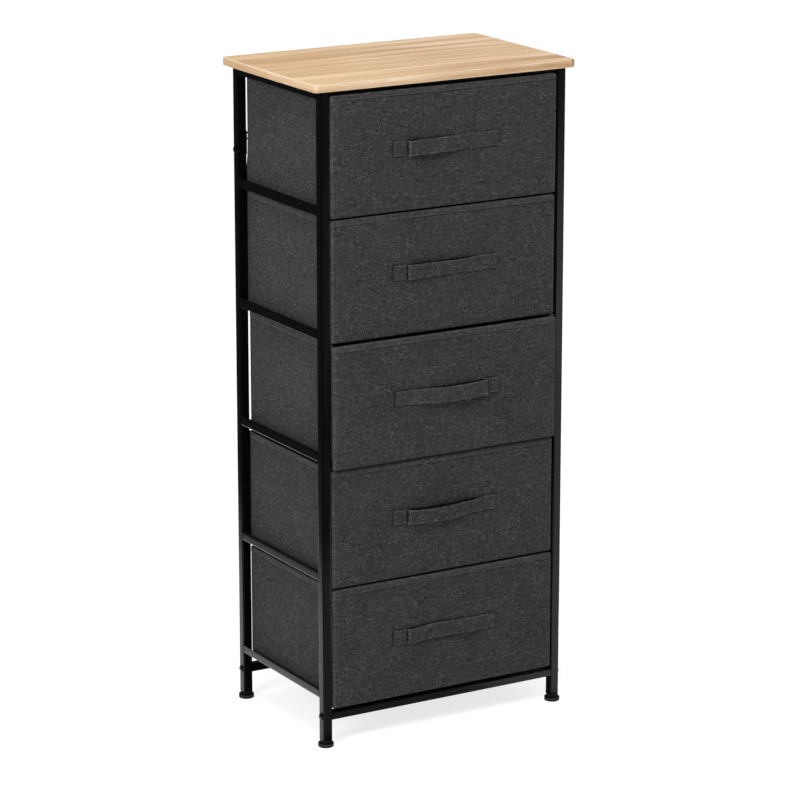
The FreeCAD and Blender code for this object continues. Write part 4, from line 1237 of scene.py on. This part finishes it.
def make_runner(side, n):
    """Bent steel angle: upright leg flush with the posts, flat leg under the drawer, and a weld bead at each end."""
    s = -1 if side == "left" else 1
    z, h, t, leg, R = RUN_Z[n], (13.0 if n == 4 else 16.0), 1.5, 28.0, 2.3
    H = 212.5
    prof = [(H - t + 0.35, z + h), (H - 0.35, z + h), (H - 0.10, z + h - 0.12), (H, z + h - 0.4), (H, z + h * 0.6), (H, z + R + 1.0)]
    prof += [(H - R + R * math.cos(math.radians(a)), z + R - R * math.sin(math.radians(a))) for a in (0, 11, 22, 34, 45, 56, 68, 79, 90)]
    prof += [(H - 12, z), (H - leg + 0.4, z), (H - leg + 0.1, z + 0.12), (H - leg, z + 0.4), (H - leg, z + t - 0.4), (H - leg + 0.12, z + t - 0.12), (H - leg + 0.4, z + t)]
    r = R - t
    prof += [(H - 12, z + t)] + [(H - R + r * math.cos(math.radians(a)), z + R - r * math.sin(math.radians(a))) for a in (90, 68, 45, 22, 0)]
    prof += [(H - t, z + h * 0.6), (H - t, z + h - 0.4), (H - t + 0.10, z + h - 0.12)]
    prof = np.array(prof)
    ya, yb = Y0 + 15.5, Y0 + 256.5
    ys = np.concatenate([[ya, ya + 1.5], np.linspace(ya + 8, yb - 8, 30), [yb - 1.5, yb]])
    P = np.zeros((len(ys), len(prof), 3))
    # rolled and pressed sheet is never quite flat
    wav = 0.05 * pnoise(ys / 37.0, 2.5 + n, 610 + n) * np.sin(np.pi * (ys - ya) / (yb - ya))
    P[..., 0] = s * (prof[None, :, 0] + wav[:, None])
    P[..., 1] = ys[:, None]
    P[..., 2] = prof[None, :, 1] + 0.6 * wav[:, None]
    d = np.concatenate([[0], np.cumsum(np.linalg.norm(np.diff(np.vstack([prof, prof[:1]]), axis=0), axis=1))])
    U = np.zeros((len(ys), len(prof) + 1, 2))
    U[..., 0], U[..., 1] = ys[:, None], d[None, :]
    b = Build()
    b.grid(np.concatenate([P, P[:, :1]], 1), U)
    m = len(prof)
    for i in (0, -1):
        base = b.verts(P[i])
        b.face(range(base, base + m), [(0, q) for q in d[:-1]])
    # beads: along the inside of the upright leg and under the flat leg
    for y, sy in ((ya, 1), (yb, -1)):
        for line, out in ((np.stack([np.full(18, H - t), np.linspace(z + t + 1.4, z + h - 1.6, 18)], 1), (-1, 0)),
                          (np.stack([np.linspace(H - 13.5, H - R - 0.6, 18), np.full(18, z)], 1), (0, -1))):
            ang = np.radians([-100, -60, -25, 10, 45, 80, 115, 150, 185])
            rows = []
            for i, (x, zz) in enumerate(line):
                e = math.sin(math.pi * (i + 0.5) / 18) ** 0.35
                rr = (0.95 + 0.16 * math.sin(i * 2.05) + 0.10 * float(pnoise(i * 0.6, y * 0.1 + n, 640))) * e
                rows.append([(s * (x + out[0] * (rr * max(math.cos(a), -0.5))), y + sy * rr * (0.35 + 0.85 * math.sin(a)), zz + out[1] * (rr * max(math.cos(a), -0.5)) ) for a in ang])
            Pb = np.array(rows)
            Ub = np.zeros((18, len(ang) + 1, 2))
            Ub[..., 0] = np.arange(18)[:, None] * 0.7
            Ub[..., 1] = np.arange(len(ang) + 1)[None, :] * 0.4
            b.grid(np.concatenate([Pb, Pb[:, :1]], 1), Ub)
            for i in (0, -1):
                base = b.verts(Pb[i])
                b.face(range(base, base + len(ang)), [(0, 0)] * len(ang))
    return b.make(f"runner_{side}_{n+1}_bent", M_STEEL, smooth_angle=32)


for side in ("left", "right"):
    for n in range(5):
        o = make_runner(side, n)
        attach(o, "frame")
        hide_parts(f"runner_{side}_{n+1}")

# ---------------------------------------------------------------------------------------------
# CAD pieces that stay: their finishes
# ---------------------------------------------------------------------------------------------
for name, o in NODES.items():
    if o.hide_render:
        continue
    slot = o.material_slots[0].material.name if o.material_slots and o.material_slots[0].material else ""
    m = {"black_steel": M_STEEL, "black_bolts": M_BOLT, "black_plastic": M_PLASTIC, "zinc_steel": M_ZINC,
         "grey_board": M_BOARD, "charcoal_fabric": M_FABRIC, "oak_board": M_OAK}.get(slot.split(".")[0], M_STEEL)
    for sl in o.material_slots:
        sl.material = m

# rails and tabs with edges broken a little, so that they catch the light, stand for the sharp ones
for name, o in NODES.items():
    if name.startswith(("top_rail_left", "top_rail_right", "bottom_rail", "rear_tie_tabs")):
        me = o.data.copy()
        me.transform(o.matrix_world)
        me.materials.clear()
        me.materials.append(M_STEEL)
        ob = bpy.data.objects.new(name + "_rolled", me)
        bpy.context.scene.collection.objects.link(ob)
        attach(ob, "frame")
        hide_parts(name)
        w = ob.modifiers.new("weld", "WELD")
        w.merge_threshold = 1e-6
        bv = ob.modifiers.new("soft_edges", "BEVEL")
        bv.width = 0.00035 if "tabs" in name else 0.0008
        bv.segments = 2
        bv.limit_method = "ANGLE"
        bv.angle_limit = math.radians(50)
        bv.harden_normals = False

# ---------------------------------------------------------------------------------------------
# Floor, light, camera
# ---------------------------------------------------------------------------------------------
me = bpy.data.meshes.new("floor")
me.from_pydata([(-60, -60, 0), (60, -60, 0), (60, 60, 0), (-60, 60, 0)], [], [(0, 1, 2, 3)])
floor = bpy.data.objects.new("floor", me)
bpy.context.scene.collection.objects.link(floor)
kf = Mat("pale_floor", Roughness=0.75, Specular_IOR_Level=0.2)
nz = kf.noise(kf.object_co(), 3.0, 3.0)
kf.put(kf.bsdf.inputs["Base Color"], kf.colours(nz, [(0.3, (0.33, 0.33, 0.33)), (0.7, (0.35, 0.35, 0.35))]))
kf.bsdf.inputs["Emission Color"].default_value = (1, 1, 1, 1)
kf.bsdf.inputs["Emission Strength"].default_value = 0.745
me.materials.append(kf.m)

world = bpy.data.worlds.new("studio")
bpy.context.scene.world = world
world.use_nodes = True
wt = world.node_tree
bg = next(n for n in wt.nodes if n.type == "BACKGROUND")
tc = wt.nodes.new("ShaderNodeTexCoord")
sep = wt.nodes.new("ShaderNodeSeparateXYZ")
parts = []
for lo_, hi_, a_, b_ in ((0.10, 0.28, 1.0, 0.36), (0.66, 0.92, 0.0, 0.85)):
    mr = wt.nodes.new("ShaderNodeMapRange")
    mr.interpolation_type = "SMOOTHSTEP"
    wt.links.new(sep.outputs[2], mr.inputs[0])
    for i, v in zip((1, 2, 3, 4), (lo_, hi_, a_, b_)):
        mr.inputs[i].default_value = v
    parts.append(mr.outputs[0])
add = wt.nodes.new("ShaderNodeMath")
add.operation = "ADD"
wt.links.new(parts[0], add.inputs[0])
wt.links.new(parts[1], add.inputs[1])
wt.links.new(tc.outputs["Generated"], sep.inputs[0])
wt.links.new(add.outputs[0], bg.inputs["Strength"])
bg.inputs["Color"].default_value = (1.0, 1.0, 1.0, 1)


def area(name, loc, at, size, power, colour=(1, 1, 1)):
    l = bpy.data.lights.new(name, "AREA")
    l.shape, l.size, l.size_y, l.energy, l.color = "RECTANGLE", size[0], size[1], power, colour
    o = bpy.data.objects.new(name, l)
    o.location = loc
    o.rotation_euler = (Vector(at) - Vector(loc)).to_track_quat("-Z", "Y").to_euler()
    o.visible_camera = False
    bpy.context.scene.collection.objects.link(o)
    return o


area("key_front", (-1.0, -2.1, 2.9), (0, 0, 0.95), (0.8, 0.8), 47.5, (1.0, 0.998, 0.992))
area("key_left", (-3.2, -1.6, 2.2), (0, 0, 0.5), (1.2, 2.0), 115, (0.995, 0.995, 1.0))
# low panels lying on the floor round the dresser, seen only as a sheen in the black paint
for name, (x, y), size, turn, power in (("low_left", (-0.40, 0.1), (0.36, 2.0), 0.0, 72.0), ("low_right", (0.40, 0.1), (0.36, 2.0), 0.0, 50.0),
                                        ("low_front", (-0.33, -0.51), (0.94, 0.68), 0.0, 52.0), ("low_front_right", (0.47, -0.4775), (0.66, 0.645), 0.0, 102.0),
                                        ("low_right_mid", (1.047, -1.316), (0.6, 1.35), 30.5, 205.0), ("low_right_far", (2.07, -2.598), (1.0, 1.9), 30.5, 850.0)):
    o = area(name, (x, y, 0.004), (x, y, 1.0), size, power)
    o.rotation_euler[2] += math.radians(turn)
    o.visible_diffuse = False
area("fill_right", (2.6, -3.0, 1.8), (0, 0, 0.5), (2.0, 2.0), 8)

cam = bpy.data.cameras.new("camera")
co = bpy.data.objects.new("camera", cam)
bpy.context.scene.collection.objects.link(co)
cam.sensor_width = 36.0
cam.lens = 3577.545 * 36.0 / 800.0
cam.clip_end = 200.0
th, ph = math.radians(30.53), math.radians(15.019)
co.location = (-2.71469, -4.600856, 1.922924)
d = Vector((math.sin(th) * math.cos(ph), math.cos(th) * math.cos(ph), -math.sin(ph)))
co.rotation_euler = d.to_track_quat("-Z", "Y").to_euler()
bpy.context.scene.camera = co

vs = bpy.context.scene.view_settings
vs.view_transform = "Standard"
vs.look = "None"
